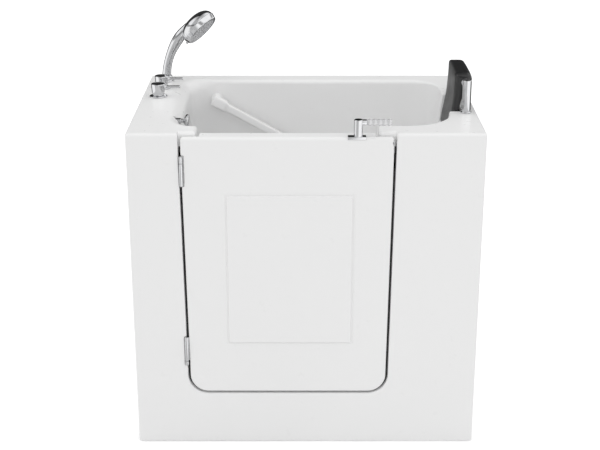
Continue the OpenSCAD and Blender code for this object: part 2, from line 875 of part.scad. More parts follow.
// Web that joins a knuckle to its own leaf, in front of the other leaf
module leaf_bridge(side, z0, z1) {
    mid = (z0 + z1) / 2;
    wall = door_x - gap_half(mid) + side * door_gap / 2;
    lean = (z1 - z0) / 2 * door_taper / 2 / (deck_h - sill_h);
    x_leaf = [wall + lean - side * 0.02, wall - lean - side * 0.02];
    x_near = side * min(side * (x_leaf[0] - side * leaf_t), side * (hinge_x + side * 2));
    along_y(hinge_y + bridge_y0, hinge_y + bridge_y1) polygon([
        [x_near, z0], [x_leaf[0], z0], [x_leaf[1], z1], [x_near, z1]
    ]);
    along_y(hinge_y + bridge_y0, hinge_y + bridge_y1 + 1.1) polygon([
        [x_leaf[0] - side * leaf_t, z0], [x_leaf[0], z0],
        [x_leaf[1], z1], [x_leaf[1] - side * leaf_t, z1]
    ]);
}
bridge_y0 = hinge_pin_r + 0.6;
bridge_y1 = barrel_r + 0.4;

module hinge_pin(z, l) {
    color([0.85, 0.86, 0.88]) translate([hinge_x, hinge_y, z - l / 2 - pin_head]) {
        cylinder(r = hinge_pin_r, h = l + 2 * pin_head);
        for (h = [0, l + pin_head + run]) translate([0, 0, h])
            cylinder(r = barrel_r - 0.5, h = pin_head - run);
    }
}

upper_share = 0.23;
lower_share = -0.13;

module upper_frame_leaf() {
    frame_leaf(upper_hinge_z, upper_hinge_l, upper_share);
}

module lower_frame_leaf() {
    frame_leaf(lower_hinge_z, lower_hinge_l, lower_share);
}

module upper_door_leaf() {
    door_leaf(upper_hinge_z, upper_hinge_l, upper_share);
}

module lower_door_leaf() {
    door_leaf(lower_hinge_z, lower_hinge_l, lower_share);
}

module upper_hinge_pin() {
    hinge_pin(upper_hinge_z, upper_hinge_l);
}

module lower_hinge_pin() {
    hinge_pin(lower_hinge_z, lower_hinge_l);
}

module leaf_screw(side, h) {
    wall = side < 0 ? door_x - gap_half(h) - door_gap / 2 : door_x - gap_half(h) + door_gap / 2;
    translate([wall - side * (leaf_t + 0.03), leaf_screw_y, h]) rotate([0, side * 90, 0]) {
        cylinder(r = 2, h = side < 0 ? 9 : 16);
        translate([0, 0, -0.8]) cylinder(r = 2, h = 0.8);
    }
}

module frame_leaf_screws() {
    color([0.8, 0.8, 0.82]) for (h = hinge_screw_heights()) leaf_screw(-1, h);
}

module door_leaf_screws() {
    color([0.8, 0.8, 0.82]) for (h = hinge_screw_heights()) leaf_screw(1, h);
}

// ---------------------------------------------------------------- latch

module latch_keeper() {
    color([0.85, 0.86, 0.88]) difference() {
        keeper_pocket(0);
        bolt_hole(0.5);
    }
}

module latch_base() {
    color([0.85, 0.86, 0.88]) difference() {
        box([base_x0, y_front - 2, base_z], [base_x1, base_back, base_top]);
        translate([latch_x, spindle_y, base_z - over]) cylinder(r = spindle_r + run, h = 20);
    }
}

module latch_faceplate() {
    color([0.85, 0.86, 0.88]) difference() {
        faceplate_form(0);
        box([edge_x - 9, spindle_y - bolt_t / 2 - 0.1, bolt_z - bolt_h / 2 - 0.1],
            [edge_x + 9, spindle_y + bolt_t / 2 + 0.1, bolt_z + bolt_h / 2 + 0.1]);
    }
}

plain_l = 23;
core_r = 5;

module latch_lever() {
    color([0.85, 0.86, 0.88]) {
        translate([latch_x, spindle_y, 0]) {
            translate([0, 0, bolt_z - 7]) cylinder(r = spindle_r, h = base_top + slip - bolt_z + 8);
            translate([0, 0, base_top + slip])
                cylinder(r = post_r, h = lever_z - base_top - slip + 6);
            translate([0, 0, lever_z + 6]) cylinder(r1 = post_r, r2 = post_r - 2, h = 2);
        }
        x_rod([latch_x, spindle_y, lever_z], grip_r - 1.2, plain_l);
        x_rod([latch_x, spindle_y, lever_z], core_r, lever_reach - 2);
        // finger that drives the bolt
        translate([latch_x - finger_r, spindle_y, bolt_z - 7]) cube([2 * finger_r, finger_l, 14]);
        translate([latch_x, spindle_y + finger_l, bolt_z - 7]) cylinder(r = finger_r, h = 14);
    }
}

module latch_grip() {
    waves = 5;
    wave_h = 1.6;
    l = lever_reach - plain_l;
    color([0.6, 0.6, 0.62]) translate([latch_x + plain_l, spindle_y, lever_z]) rotate([0, 90, 0])
        rotate_extrude() polygon(concat(
            [[core_r + run, 0]],
            [for (i = [0:waves * 8]) let (s = i / (waves * 8))
                [grip_r - wave_h * (1 + cos(360 * waves * s)) / 2, l * s]],
            [[0, l], [0, l - 2 + run], [core_r + run, l - 2 + run]]
        ));
}

module latch_bolt() {
    color([0.75, 0.76, 0.78]) box(
        [tail_x, spindle_y - bolt_t / 2, bolt_z - bolt_h / 2],
        [edge_x - bolt_set, spindle_y + bolt_t / 2, bolt_z + bolt_h / 2]);
}

// ---------------------------------------------------------------- taps

module valve_body(y) {
    color([0.75, 0.62, 0.35]) translate([tap_x, y, 0]) {
        translate([0, 0, deck_h - valve_drop]) cylinder(r = valve_r, h = valve_drop);
        translate([0, 0, deck_h]) cylinder(r = stem_r, h = escutcheon_t + tap_h * 0.6);
        translate([0, 0, deck_h - valve_drop - inlet_l]) cylinder(r = inlet_r, h = inlet_l);
    }
}

module escutcheon(y) {
    color([0.85, 0.86, 0.88]) translate([tap_x, y, deck_h]) difference() {
        union() {
            cylinder(r = escutcheon_r, h = escutcheon_t - 1.5);
            translate([0, 0, escutcheon_t - 1.5])
                cylinder(r1 = escutcheon_r, r2 = escutcheon_r - 1.5, h = 1.5);
        }
        translate([0, 0, -over]) cylinder(r = stem_r + slip, h = escutcheon_t + 2 * over);
    }
}

module tap_handle(y) {
    z0 = deck_h + escutcheon_t + slip;
    color([0.85, 0.86, 0.88]) translate([tap_x, y, z0]) difference() {
        union() {
            cylinder(r1 = tap_r - 2.5, r2 = tap_r, h = tap_h - 1.5);
            translate([0, 0, tap_h - 1.5]) cylinder(r1 = tap_r, r2 = tap_r - 1.5, h = 1.5);
        }
        translate([0, 0, -over])
            cylinder(r = stem_r + run, h = tap_h * 0.6 - slip + over + 0.5);
        x_rod([5.5, 0, tap_h - 10], lever_pin_r + run, tap_r + 5);
    }
}
lever_pin_r = 4;

module tap_lever(y) {
    z0 = deck_h + escutcheon_t + slip;
    tip = tap_r + tap_lever_l;
    color([0.85, 0.86, 0.88]) translate([tap_x, y, z0 + tap_h - 10]) {
        x_rod([6, 0, 0], lever_pin_r, tip - 8);
        translate([tap_r + 0.1, 0, 0]) rotate([0, 90, 0]) cylinder(r1 = 6.5, r2 = 5.5, h = 5);
        translate([tip - 2.02, 0, 0]) sphere(lever_pin_r + 0.02);
    }
}

module hot_valve_body() {
    valve_body(hot_y);
}

module cold_valve_body() {
    valve_body(cold_y);
}

module hot_escutcheon() {
    escutcheon(hot_y);
}

module cold_escutcheon() {
    escutcheon(cold_y);
}

module hot_handle() {
    tap_handle(hot_y);
}

module cold_handle() {
    tap_handle(cold_y);
}

module hot_lever() {
    tap_lever(hot_y);
}

module cold_lever() {
    tap_lever(cold_y);
}

module valve_locknuts() {
    nut_h = 9;
    color([0.75, 0.62, 0.35]) for (y = [hot_y, cold_y])
        translate([tap_x, y, deck_h - shell_t - nut_h]) difference() {
            cylinder(r = valve_r + 9, h = nut_h, $fn = 6);
            translate([0, 0, -over]) cylinder(r = valve_r + run, h = nut_h + 2 * over);
        }
}

// ---------------------------------------------------------------- hand shower

module shower_dock() {
    color([0.85, 0.86, 0.88]) translate([dock_x, dock_y, deck_h]) difference() {
        union() {
            cylinder(r = dock_r + 6, h = 3);
            translate([0, 0, 3]) cylinder(r1 = dock_r + 1, r2 = dock_r - 1, h = dock_h - 3);
            translate([0, 0, -dock_drop]) cylinder(r = dock_tube_r, h = dock_drop);
        }
        translate([0, 0, -dock_drop - over])
            cylinder(r = tail_r + run, h = dock_drop + dock_h + 2 * over);
    }
}

module dock_locknut() {
    nut_h = 9;
    color([0.75, 0.62, 0.35]) translate([dock_x, dock_y, deck_h - shell_t - nut_h]) difference() {
        cylinder(r = dock_tube_r + 8, h = nut_h, $fn = 6);
        translate([0, 0, -over]) cylinder(r = dock_tube_r + run, h = nut_h + 2 * over);
    }
}

// Middle line of the handle: upright from the dock, then bending over towards the seat
function bend(s, a, b, c, d) =
    pow(1 - s, 3) * a + 3 * pow(1 - s, 2) * s * b + 3 * (1 - s) * pow(s, 2) * c + pow(s, 3) * d;
handle_steps = 22;
handle_start = [dock_x, dock_y, deck_h + dock_h + slip + 0.6];
head_along = [cos(head_tilt), 0, sin(head_tilt)];
head_axis = [-sin(head_tilt) * cos(head_yaw), sin(head_yaw), cos(head_tilt) * cos(head_yaw)];
head_centre = [head_x, dock_y, head_z];
handle_end = head_centre + [-21, 0, 14];
handle_path = [
    for (i = [0:handle_steps]) bend(i / handle_steps, handle_start,
        handle_start + [2, 0, 53], handle_end - [57, 0, 54], handle_end)
];
handle_radii = [
    for (i = [0:handle_steps]) let (s = i / handle_steps)
        11.4 + 2.8 * pow(1 - s, 2) + 5.5 * pow(sin(180 * s * s), 2)
];

module at_head() {
    translate(head_centre) rotate([0, -head_tilt, 0]) rotate([-head_yaw, 0, 0])
        children();
}

dome_h = 38;
dome_fullness = 2.5;

module shower_handle() {
    color([0.85, 0.86, 0.88]) {
        translate([dock_x, dock_y, deck_h - dock_drop + 4])
            cylinder(r = tail_r, h = dock_drop + dock_h);
        swept_tube(handle_path, handle_radii, 16);
        at_head() difference() {
            rotate_extrude() polygon(concat(
                [[0, 1], [0, 1 + dome_h]],
                [for (i = [1:12]) let (a = 90 * i / 12) [
                    (head_r - 1) * pow(sin(a), 2 / dome_fullness),
                    1 + (i < 12 ? dome_h * pow(cos(a), 2 / dome_fullness) : 0)
                ]]
            ));
            translate([0, 0, -over]) cylinder(r = 6 + run, h = 9);
        }
    }
}

module shower_face_ring() {
    color([0.85, 0.86, 0.88]) at_head() {
        difference() {
            translate([0, 0, -ring_h])
                cylinder(r1 = head_r - ring_taper, r2 = head_r, h = ring_h + 0.7);
            translate([0, 0, -ring_h - over]) cylinder(r = head_r - ring_wall, h = ring_h + over - 3);
            translate([0, 0, -4]) cylinder(r = 6 + slip, h = 8);
        }
        // tab that turns the spray pattern
        translate([-head_r - 3, -5, -10]) cube([7, 10, 6]);
    }
}

module nozzle_plate() {
    rows = 3;
    color([0.55, 0.56, 0.58]) at_head() {
        translate([0, 0, 1.5 - ring_h]) cylinder(r = head_r - ring_wall - slip, h = 4.4);
        translate([0, 0, 5 - ring_h]) cylinder(r = 6, h = ring_h);
        for (j = [1:rows], i = [0:6 * j - 1]) rotate([0, 0, 360 * i / (6 * j)])
            translate([j * (head_r - 18) / rows, 0, -ring_h - 0.3]) cylinder(r = 1.6, h = 2, $fn = 16);
    }
}

// ---------------------------------------------------------------- headrest

module at_posts() {
    for (s = [-1, 1]) translate([rest_x, s * post_gap / 2, deck_h]) children();
}

module headrest_posts() {
    color([0.85, 0.86, 0.88]) difference() {
        at_posts() {
            cylinder(r = rest_post_r, h = rest_post_h - 1.5);
            translate([0, 0, rest_post_h - 1.5])
                cylinder(r1 = rest_post_r, r2 = rest_post_r - 1.5, h = 1.5);
            translate([0, 0, -30]) cylinder(r = stud_hole_r - slip, h = 30.01);
        }
        for (s = [-1, 1])
            y_rod([rod_x, s * post_gap / 2 - rest_post_r / 2 - (s > 0 ? rest_post_r : 0), rod_z],
                rod_r + run, 2 * rest_post_r);
    }
}

module headrest_base_rings() {
    color([0.85, 0.86, 0.88]) at_posts() z_ring(0, rest_post_r + 2.5, rest_post_r + run, 4);
}

module headrest_rod() {
    l = post_gap + rest_post_r - 0.2;
    color([0.75, 0.76, 0.78]) y_rod([rod_x, -l / 2, rod_z], rod_r, l);
}

pad_rise = 112;
pad_head_t = 53;
pad_body_t = 20;
pad_bend_rise = 50;

// Section of the pad: a rounded head over a thinner body that leans into the basin
function pad_section() = let (
        low = deck_h - pad_drop,
        top = deck_h + pad_rise,
        bend = deck_h + pad_bend_rise,
        face = pad_face,
        foot_x0 = face - (bend + 10 - low) * tan(backrest_lean)
    ) concat(
        arc(foot_x0 + 11, low + 10, 9, 270, 180, 5),
        [[face, bend], [face + 0.5, bend + 30]],
        arc(face + 11, top - 11, 12, 180, 90, 5),
        arc(face + pad_head_t - 11, top - 11, 11, 90, 0, 4),
        arc(face + pad_head_t - 12, rod_z + 2, 12, 0, -60, 4),
        [[face + pad_body_t + 10, bend], [face + pad_body_t, deck_h + 8]],
        [[foot_x0 + pad_body_t + 4, low + 8], [foot_x0 + pad_body_t, low + 1]]
    );

module headrest_pad() {
    color([0.25, 0.25, 0.26]) difference() {
        along_y(-pad_l / 2, pad_l / 2) polygon(pad_section());
        y_rod([rod_x, -pad_l, rod_z], hub_r + slip, 2 * pad_l);
    }
}
hub_r = rod_r + 3;

module headrest_hubs() {
    gap = (post_gap / 2 - rest_post_r) - pad_l / 2;
    color([0.85, 0.86, 0.88]) difference() {
        union() {
            y_rod([rod_x, -pad_l / 2 - 0.1, rod_z], hub_r, pad_l + 0.2);
            for (s = [-1, 1])
                y_rod([rod_x, s > 0 ? pad_l / 2 + 0.05 : -pad_l / 2 - gap + 0.45, rod_z], 12,
                    gap - 0.5);
        }
        y_rod([rod_x, -pad_l, rod_z], rod_r + run, 2 * pad_l);
    }
}

// ---------------------------------------------------------------- drain and overflow

module drain_flange() {
    color([0.85, 0.86, 0.88]) translate([drain_x, 0, 0]) {
        z_ring(floor_h, drain_r, 20, 2.5);
        z_ring(floor_h - shell_t - 14, drain_neck_r, 20, shell_t + 14.01);
    }
}

// Side socket for the overflow pipe, from the middle of the drain
socket_x = pipe_x + 40 - drain_x;
socket_l = 30;

module drain_body() {
    top = floor_h - shell_t;
    color([0.9, 0.9, 0.91]) translate([drain_x, 0, 0]) difference() {
        union() {
            translate([0, 0, waste_z - 22]) cylinder(r = drain_neck_r + 4, h = top - waste_z + 22);
            translate([0, 0, 40]) cylinder(r = outlet_r, h = waste_z - 22 - 40 + 0.01);
            x_rod([socket_x, 0, waste_z], pipe_r + 3, -socket_x);
        }
        translate([0, 0, waste_z - 18]) cylinder(r = drain_neck_r + run, h = 100);
        translate([0, 0, 30]) cylinder(r = outlet_r - 3, h = 100);
        x_rod([socket_x - over, 0, waste_z], pipe_r + run, socket_l + over);
        x_rod([socket_x, 0, waste_z], pipe_r - pipe_t, -socket_x);
    }
}

module drain_plug() {
    color([0.85, 0.86, 0.88]) translate([drain_x, 0, 0]) {
        translate([0, 0, floor_h + 2.5 + slip]) cylinder(r1 = 24, r2 = 21, h = 4);
        translate([0, 0, floor_h - 18]) cylinder(r = 17, h = 20.8 + slip);
        translate([0, 0, floor_h - 40]) cylinder(r = 4, h = 23);
    }
}

module overflow_elbow() {
    color([0.9, 0.9, 0.91]) difference() {
        union() {
            x_rod([pipe_x, -knob_y, knob_z], elbow_r, collar_x - pipe_x - 0.1);
            translate([pipe_x, -knob_y, knob_z - 60]) cylinder(r = pipe_r + 3, h = 60 - elbow_r - 4);
            translate([pipe_x, -knob_y, knob_z - elbow_r - 12]) cylinder(r = elbow_r, h = 12 + elbow_r);
            translate([pipe_x, -knob_y, knob_z]) sphere(elbow_r + 0.02);
        }
        x_rod([pipe_x + 6, -knob_y, knob_z], knob_stem_r + run, 80);
        translate([pipe_x, -knob_y, knob_z - 61]) cylinder(r = pipe_r + run, h = 30);
    }
}

module overflow_collar() {
    color([0.85, 0.86, 0.88]) difference() {
        x_rod([collar_x, -knob_y, knob_z], collar_r, 18);
        x_rod([collar_x - over, -knob_y, knob_z], knob_stem_r + run, 18 + 2 * over);
    }
}

module drain_knob() {
    head_x0 = collar_x + 18 + knob_gap;
    color([0.85, 0.86, 0.88]) {
        x_rod([pipe_x + 8, -knob_y, knob_z], knob_stem_r, head_x0 - pipe_x - 7);
        translate([head_x0 - 8, -knob_y, knob_z]) rotate([0, 90, 0])
            cylinder(r1 = 8, r2 = knob_r, h = 8);
        x_rod([head_x0, -knob_y, knob_z], knob_r, 5);
        translate([head_x0 + 5, -knob_y, knob_z]) rotate([0, 90, 0])
            cylinder(r1 = knob_r, r2 = knob_r - 4, h = 2.5);
    }
}

// Runs down the tap-end wall, then across to the drain
module overflow_pipe() {
    low_y = -knob_y;
    pipe_run = drain_x + socket_x + socket_l - 2 - pipe_x;
    color([0.9, 0.9, 0.91]) difference() {
        union() {
            translate([pipe_x, low_y, waste_z])
                cylinder(r = pipe_r, h = knob_z - 31 - waste_z);
            y_rod([pipe_x, low_y, waste_z], pipe_r, -low_y);
            x_rod([pipe_x, 0, waste_z], pipe_r, pipe_run);
            for (y = [low_y, 0]) translate([pipe_x, y, waste_z]) sphere(pipe_r + 0.02);
        }
        translate([pipe_x, low_y, waste_z])
            cylinder(r = pipe_r - pipe_t, h = knob_z - 31 - waste_z + over);
        y_rod([pipe_x, low_y, waste_z], pipe_r - pipe_t, -low_y);
        x_rod([pipe_x, 0, waste_z], pipe_r - pipe_t, pipe_run + over);
    }
}

// Sheathed cable from the overflow elbow to the drain, clipped beside the pipe
cable_r = 3;
cable_steps = 6;
function drain_side(r) = [drain_x + r * cos(-125), r * sin(-125), waste_z];
cable_knots = [
    [pipe_x - elbow_r - 1.9, -knob_y, knob_z],
    [pipe_x - elbow_r - 8, -knob_y, knob_z - 0.5],
    [pipe_x - 32, -knob_y, knob_z - 60],
    [pipe_x - 32, -knob_y, 500],
    [pipe_x - 32, -knob_y + 40, 180],
    [pipe_x + 10, -70, 150],
    drain_side(80),
    drain_side(drain_neck_r + 20),
    drain_side(drain_neck_r + 4.6)
];

function spline(p, i, s) = let (
        n = len(p) - 1,
        a = p[max(i - 1, 0)], b = p[i], c = p[min(i + 1, n)], d = p[min(i + 2, n)]
    ) 0.5 * (2 * b + (c - a) * s + (2 * a - 5 * b + 4 * c - d) * s * s
        + (3 * b - a - 3 * c + d) * s * s * s);

module drain_cable() {
    path = concat(
        [for (i = [0:len(cable_knots) - 2], k = [0:cable_steps - 1])
            spline(cable_knots, i, k / cable_steps)],
        [cable_knots[len(cable_knots) - 1]]
    );
    color([0.15, 0.15, 0.16]) swept_tube(path, [for (p = path) cable_r], 8);
}

tub_shell();
left_end_panel();
right_end_panel();
panel_screws();
base_frame();
frame_uprights();
floor_supports();
seat_supports();
levelling_studs();
lock_nuts();
foot_pads();
grab_bar();
grab_bar_screws();
door_seal();
upper_frame_leaf();
lower_frame_leaf();
upper_hinge_pin();
lower_hinge_pin();
frame_leaf_screws();
latch_keeper();
door_panel();
door_liner();
door_core();
upper_door_leaf();
lower_door_leaf();
door_leaf_screws();
latch_base();
latch_faceplate();
latch_lever();
latch_grip();
latch_bolt();
hot_valve_body();
cold_valve_body();
hot_escutcheon();
cold_escutcheon();
valve_locknuts();
hot_handle();
cold_handle();
hot_lever();
cold_lever();
shower_dock();
dock_locknut();
shower_handle();
shower_face_ring();
nozzle_plate();
headrest_posts();
headrest_base_rings();
headrest_rod();
headrest_pad();
headrest_hubs();
drain_body();
drain_flange();
drain_plug();
overflow_elbow();
overflow_collar();
drain_knob();
overflow_pipe();
drain_cable();
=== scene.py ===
# %% [markdown]
# # A walk-in bathtub with a door
# The CAD model gives every part its place and size, and it opens, turns and slides already. This
# notebook gives the parts their looks: smooth moulded walls, chrome, foam and rubber. +X runs from the
# taps to the headrest, -Y goes out through the door, and +Z is up. Sizes are written in millimetres.

import functools
import json
import math

import bmesh
import bpy
import numpy as np
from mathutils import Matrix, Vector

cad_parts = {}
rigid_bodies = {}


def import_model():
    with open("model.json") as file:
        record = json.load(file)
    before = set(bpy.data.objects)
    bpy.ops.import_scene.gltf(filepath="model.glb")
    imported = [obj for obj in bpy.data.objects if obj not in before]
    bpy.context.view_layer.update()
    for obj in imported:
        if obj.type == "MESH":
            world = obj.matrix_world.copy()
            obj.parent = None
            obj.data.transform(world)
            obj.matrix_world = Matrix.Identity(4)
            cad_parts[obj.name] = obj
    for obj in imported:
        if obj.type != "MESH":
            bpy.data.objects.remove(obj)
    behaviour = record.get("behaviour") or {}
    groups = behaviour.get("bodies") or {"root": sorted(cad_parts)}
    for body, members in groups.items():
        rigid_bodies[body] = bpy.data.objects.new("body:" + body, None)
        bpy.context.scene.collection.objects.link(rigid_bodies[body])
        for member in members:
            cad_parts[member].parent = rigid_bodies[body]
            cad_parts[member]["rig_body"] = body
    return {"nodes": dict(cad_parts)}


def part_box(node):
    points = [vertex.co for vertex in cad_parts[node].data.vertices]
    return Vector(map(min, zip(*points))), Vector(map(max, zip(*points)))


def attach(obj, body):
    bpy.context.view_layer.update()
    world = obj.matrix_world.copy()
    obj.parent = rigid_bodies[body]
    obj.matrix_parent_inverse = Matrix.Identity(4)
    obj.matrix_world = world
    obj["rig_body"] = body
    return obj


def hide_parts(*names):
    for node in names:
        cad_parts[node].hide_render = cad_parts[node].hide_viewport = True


for leftover in list(bpy.data.objects):
    bpy.data.objects.remove(leftover)
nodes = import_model()["nodes"]
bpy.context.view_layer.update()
MM = 0.001

# %% [markdown]
# ## The camera
# The tub was photographed from a little above, straight at the door, with a long lens. The camera
# could be placed by eye, but the tub's corners give its height, distance and lens at once.

# %% Camera
camera_data = bpy.data.cameras.new("camera")
camera_data.lens = 75.93
camera_data.sensor_width = 36.0
camera = bpy.data.objects.new("camera", camera_data)
bpy.context.scene.collection.objects.link(camera)
camera.location = (-0.0165, -3.6677, 1.9087)
camera.rotation_euler = (math.radians(69.85), 0.0, 0.0)
bpy.context.scene.camera = camera
bpy.context.scene.view_settings.view_transform = "Standard"
print("camera looks down by 20.15 degrees from", tuple(camera.location))

# %% [markdown]
# ## From arrays to a mesh
# A shape here is a grid of points worked out with numpy, in which four neighbours make one face. One
# helper lists those faces, and another turns points and faces into a Blender object that rides on its
# body and stands for its CAD node.


# %% Faces of a grid, and a finished piece
def grid_faces(rows, cols, rows_closed=False, cols_closed=True):
    """Face (i, j) joins the points (i, j), (i, j+1), (i+1, j+1) and (i+1, j); a closed direction
    joins its last row or column to the first."""
    i = np.arange(rows if rows_closed else rows - 1)[:, None]
    j = np.arange(cols if cols_closed else cols - 1)[None, :]
    below, right = (i + 1) % rows, (j + 1) % cols
    corners = (i * cols + j, i * cols + right, below * cols + right, below * cols + j)
    return np.stack(np.broadcast_arrays(*corners), -1).reshape(-1, 4)


def joined(parts):
    """Puts several (points, faces) pairs into one pair, counting the faces' points onwards."""
    starts = np.cumsum([0] + [len(p) for p, _ in parts[:-1]])
    faces = [f + start for (_, f), start in zip(parts, starts)]
    return np.concatenate([p for p, _ in parts]), np.concatenate(faces)


def reworked(mesh, crease, steps):
    """Runs some bmesh steps on a mesh, and shades it smooth apart from angles above the crease."""
    work = bmesh.new()
    work.from_mesh(mesh)
    steps(work)
    work.to_mesh(mesh)
    work.free()
    mesh.shade_smooth()
    mesh.set_sharp_from_angle(angle=math.radians(crease))
    return mesh


def clean(work):
    """Merges the points that meet, so a pole closes, and turns every face outwards."""
    bmesh.ops.remove_doubles(work, verts=work.verts, dist=2e-6)
    bmesh.ops.dissolve_degenerate(work, edges=work.edges, dist=2e-6)
    bmesh.ops.recalc_face_normals(work, faces=work.faces)


def settle(name, mesh, finish, stands_for, body=None):
    """Links the mesh as an object, gives it its finish, and tells the frame where it belongs."""
    made = bpy.data.objects.new(name, mesh)
    bpy.context.scene.collection.objects.link(made)
    mesh.materials.clear()
    mesh.materials.append(FINISHES[finish])
    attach(made, body or nodes[stands_for[0]]["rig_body"])
    if stands_for:
        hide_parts(*stands_for)
    print(f"{name}: {len(mesh.polygons)} faces, {finish}")
    return made


def piece(name, parts, *stands_for, finish="chrome", body=None, crease=38.0):
    """Millimetre points and four-sided faces become one object."""
    points, faces = joined(parts)
    mesh = bpy.data.meshes.new(name)
    mesh.from_pydata((points * MM).tolist(), [], faces.tolist())
    return settle(name, reworked(mesh, crease, clean), finish, stands_for, body)


# %% [markdown]
# ## Shapes that come back often
# Most fittings are turned on a lathe: a profile of radius and height, carried round an axis. Bars are
# a section carried along a path, and blocks are boxes with rounded edges. The corners of a profile
# are softened first, because no real edge is sharp.


# %% Softened lines, lathe, sweep and soft block
def soften(line, reach, steps=5):
    """Each inner corner P of a line is replaced by the curve (1-t)^2 A + 2t(1-t) P + t^2 B, where A
    and B lie on the two sides at the distance `reach` from P, or half a side if that is less."""
    p = np.asarray(line, float)
    before, after = p[:-2] - p[1:-1], p[2:] - p[1:-1]
    lb, la = np.linalg.norm(before, axis=1), np.linalg.norm(after, axis=1)
    a = p[1:-1] + before * (np.minimum(reach, lb / 2) / lb)[:, None]
    b = p[1:-1] + after * (np.minimum(reach, la / 2) / la)[:, None]
    t = np.linspace(0, 1, steps)[None, :, None]
    curve = (1 - t) ** 2 * a[:, None] + 2 * t * (1 - t) * p[1:-1][:, None] + t**2 * b[:, None]
    return np.concatenate([p[:1], curve.reshape(-1, p.shape[1]), p[-1:]])


AXES = {"z": np.eye(3), "x": np.eye(3)[[2, 0, 1]], "y": np.eye(3)[[1, 2, 0]]}


def lathe(profile, centre=(0, 0, 0), axis="z", sides=64):
    """Point (i, j) is the centre plus radius_i (cos a_j, sin a_j) across the axis and height_i
    along it. The axis is a letter, or a matrix whose columns are the three directions."""
    profile = np.asarray(profile, float)
    a = np.linspace(0, 2 * np.pi, sides, endpoint=False)
    r, h = profile[:, :1], profile[:, 1:]
    local = np.stack([r * np.cos(a), r * np.sin(a), h + 0 * a], -1).reshape(-1, 3)
    turn = AXES[axis] if isinstance(axis, str) else np.asarray(axis)
    return local @ turn.T + np.asarray(centre, float), grid_faces(len(profile), sides)


def sweep(path, wide, deep=None, side=(0, 1, 0), power=2.0, sides=40):
    """A section carried along a path. Its half width `wide` lies across the path in the path's
    plane, its half depth `deep` along `side`; |cos|^(2/power) makes it round at 2 and squarer above."""
    path = np.asarray(path, float)
    wide = np.broadcast_to(wide, len(path))[:, None, None]
    deep = wide if deep is None else np.broadcast_to(deep, len(path))[:, None, None]
    along = np.gradient(path, axis=0)
    along /= np.linalg.norm(along, axis=1)[:, None]
    across = np.cross(np.asarray(side, float), along)
    across /= np.linalg.norm(across, axis=1)[:, None]
    out = np.cross(along, across)
    a = np.linspace(0, 2 * np.pi, sides, endpoint=False)
    c, s = (np.sign(v) * np.abs(v) ** (2 / power) for v in (np.cos(a), np.sin(a)))
    ring = wide * c[None, :, None] * across[:, None] + deep * s[None, :, None] * out[:, None]
    return (path[:, None] + ring).reshape(-1, 3), grid_faces(len(path), sides)


def soft_block(lo, hi, r, steps=6):
    """Eight eighths of a ball of radius r, moved apart to the corners of the box from lo to hi: a
    point is sign * (half size - r) + r * direction, on a grid of latitude and longitude."""
    lo, hi = np.asarray(lo, float), np.asarray(hi, float)
    half, quarter = (hi - lo) / 2, np.linspace(0, np.pi / 2, steps)
    lat = np.concatenate([quarter - np.pi / 2, quarter])[:, None]
    lon = np.concatenate([quarter + q * np.pi / 2 for q in range(4)])[None, :]
    sx, sy = np.repeat([1, -1, -1, 1], steps)[None, :], np.repeat([1, 1, -1, -1], steps)[None, :]
    sz = np.repeat([-1, 1], steps)[:, None]
    x = sx * (half[0] - r) + r * np.cos(lat) * np.cos(lon)
    y = sy * (half[1] - r) + r * np.cos(lat) * np.sin(lon)
    z = sz * (half[2] - r) + r * np.sin(lat) + 0 * lon
    points = np.stack([x, y, z], -1).reshape(-1, 3) + (lo + hi) / 2
    cols, rows = 4 * steps, 2 * steps
    faces = grid_faces(rows, cols)
    ends = np.arange(4) * steps
    caps = np.stack([ends[::-1], (rows - 1) * cols + ends])
    return points, np.concatenate([faces, caps])


print("a softened right angle:", soften([(0, 0), (10, 0), (10, 10)], 4, 3).round(2).tolist())

# %% [markdown]
# ## Surface effects that several finishes share
# A shader node group is a small recipe with named inputs. Three are made here: the slow unevenness of
# a moulded sheet, the fine grain of rubber and cast plastic, and the smudges that hands leave. They
# read Object coordinates, so they stay in place when a part moves, and give only masks and heights.


# %% Helpers for nodes
def new_group(name, inputs, outputs):
    """An empty recipe with number inputs and outputs, and its two end nodes."""
    group = bpy.data.node_groups.new(name, "ShaderNodeTree")
    for label, value in inputs.items():
        socket = group.interface.new_socket(name=label, in_out="INPUT", socket_type="NodeSocketFloat")
        socket.default_value = value
    for label in outputs:
        group.interface.new_socket(name=label, in_out="OUTPUT", socket_type="NodeSocketFloat")
    return group, group.nodes.new("NodeGroupInput"), group.nodes.new("NodeGroupOutput")


def node(tree, kind, links=(), **values):
    """One node. Names in `values` are its properties or its inputs; `links` are (input, output)."""
    made = tree.nodes.new("ShaderNode" + kind)
    for key, value in values.items():
        if key in made.bl_rna.properties:
            setattr(made, key, value)
    for key, value in values.items():
        if key not in made.bl_rna.properties:
            made.inputs[key.replace("_", " ")].default_value = value
    for socket, source in links:
        tree.links.new(made.inputs[socket], source)
    return made


def feed(tree, socket, given):
    """Gives a socket a link, a colour (one number is a grey) or a plain number."""
    if isinstance(given, bpy.types.NodeSocket):
        tree.links.new(socket, given)
    elif socket.type == "RGBA":
        socket.default_value = (*given, 1) if isinstance(given, tuple) else (given, given, given, 1)
    else:
        socket.default_value = given


def blend(tree, share, first, second, how="MIX"):
    """first to second as the share goes from 0 to 1."""
    made = node(tree, "Mix", data_type="RGBA", blend_type=how)
    feed(tree, made.inputs[0], share)
    for socket, given in zip([i for i in made.inputs if i.type == "RGBA"], (first, second)):
        feed(tree, socket, given)
    return [o for o in made.outputs if o.type == "RGBA"][0]


def worked_out(tree, how, first, second):
    """A sum, difference or product of two values."""
    made = node(tree, "Math", operation=how)
    for socket, given in zip(made.inputs, (first, second)):
        feed(tree, socket, given)
    return made.outputs[0]


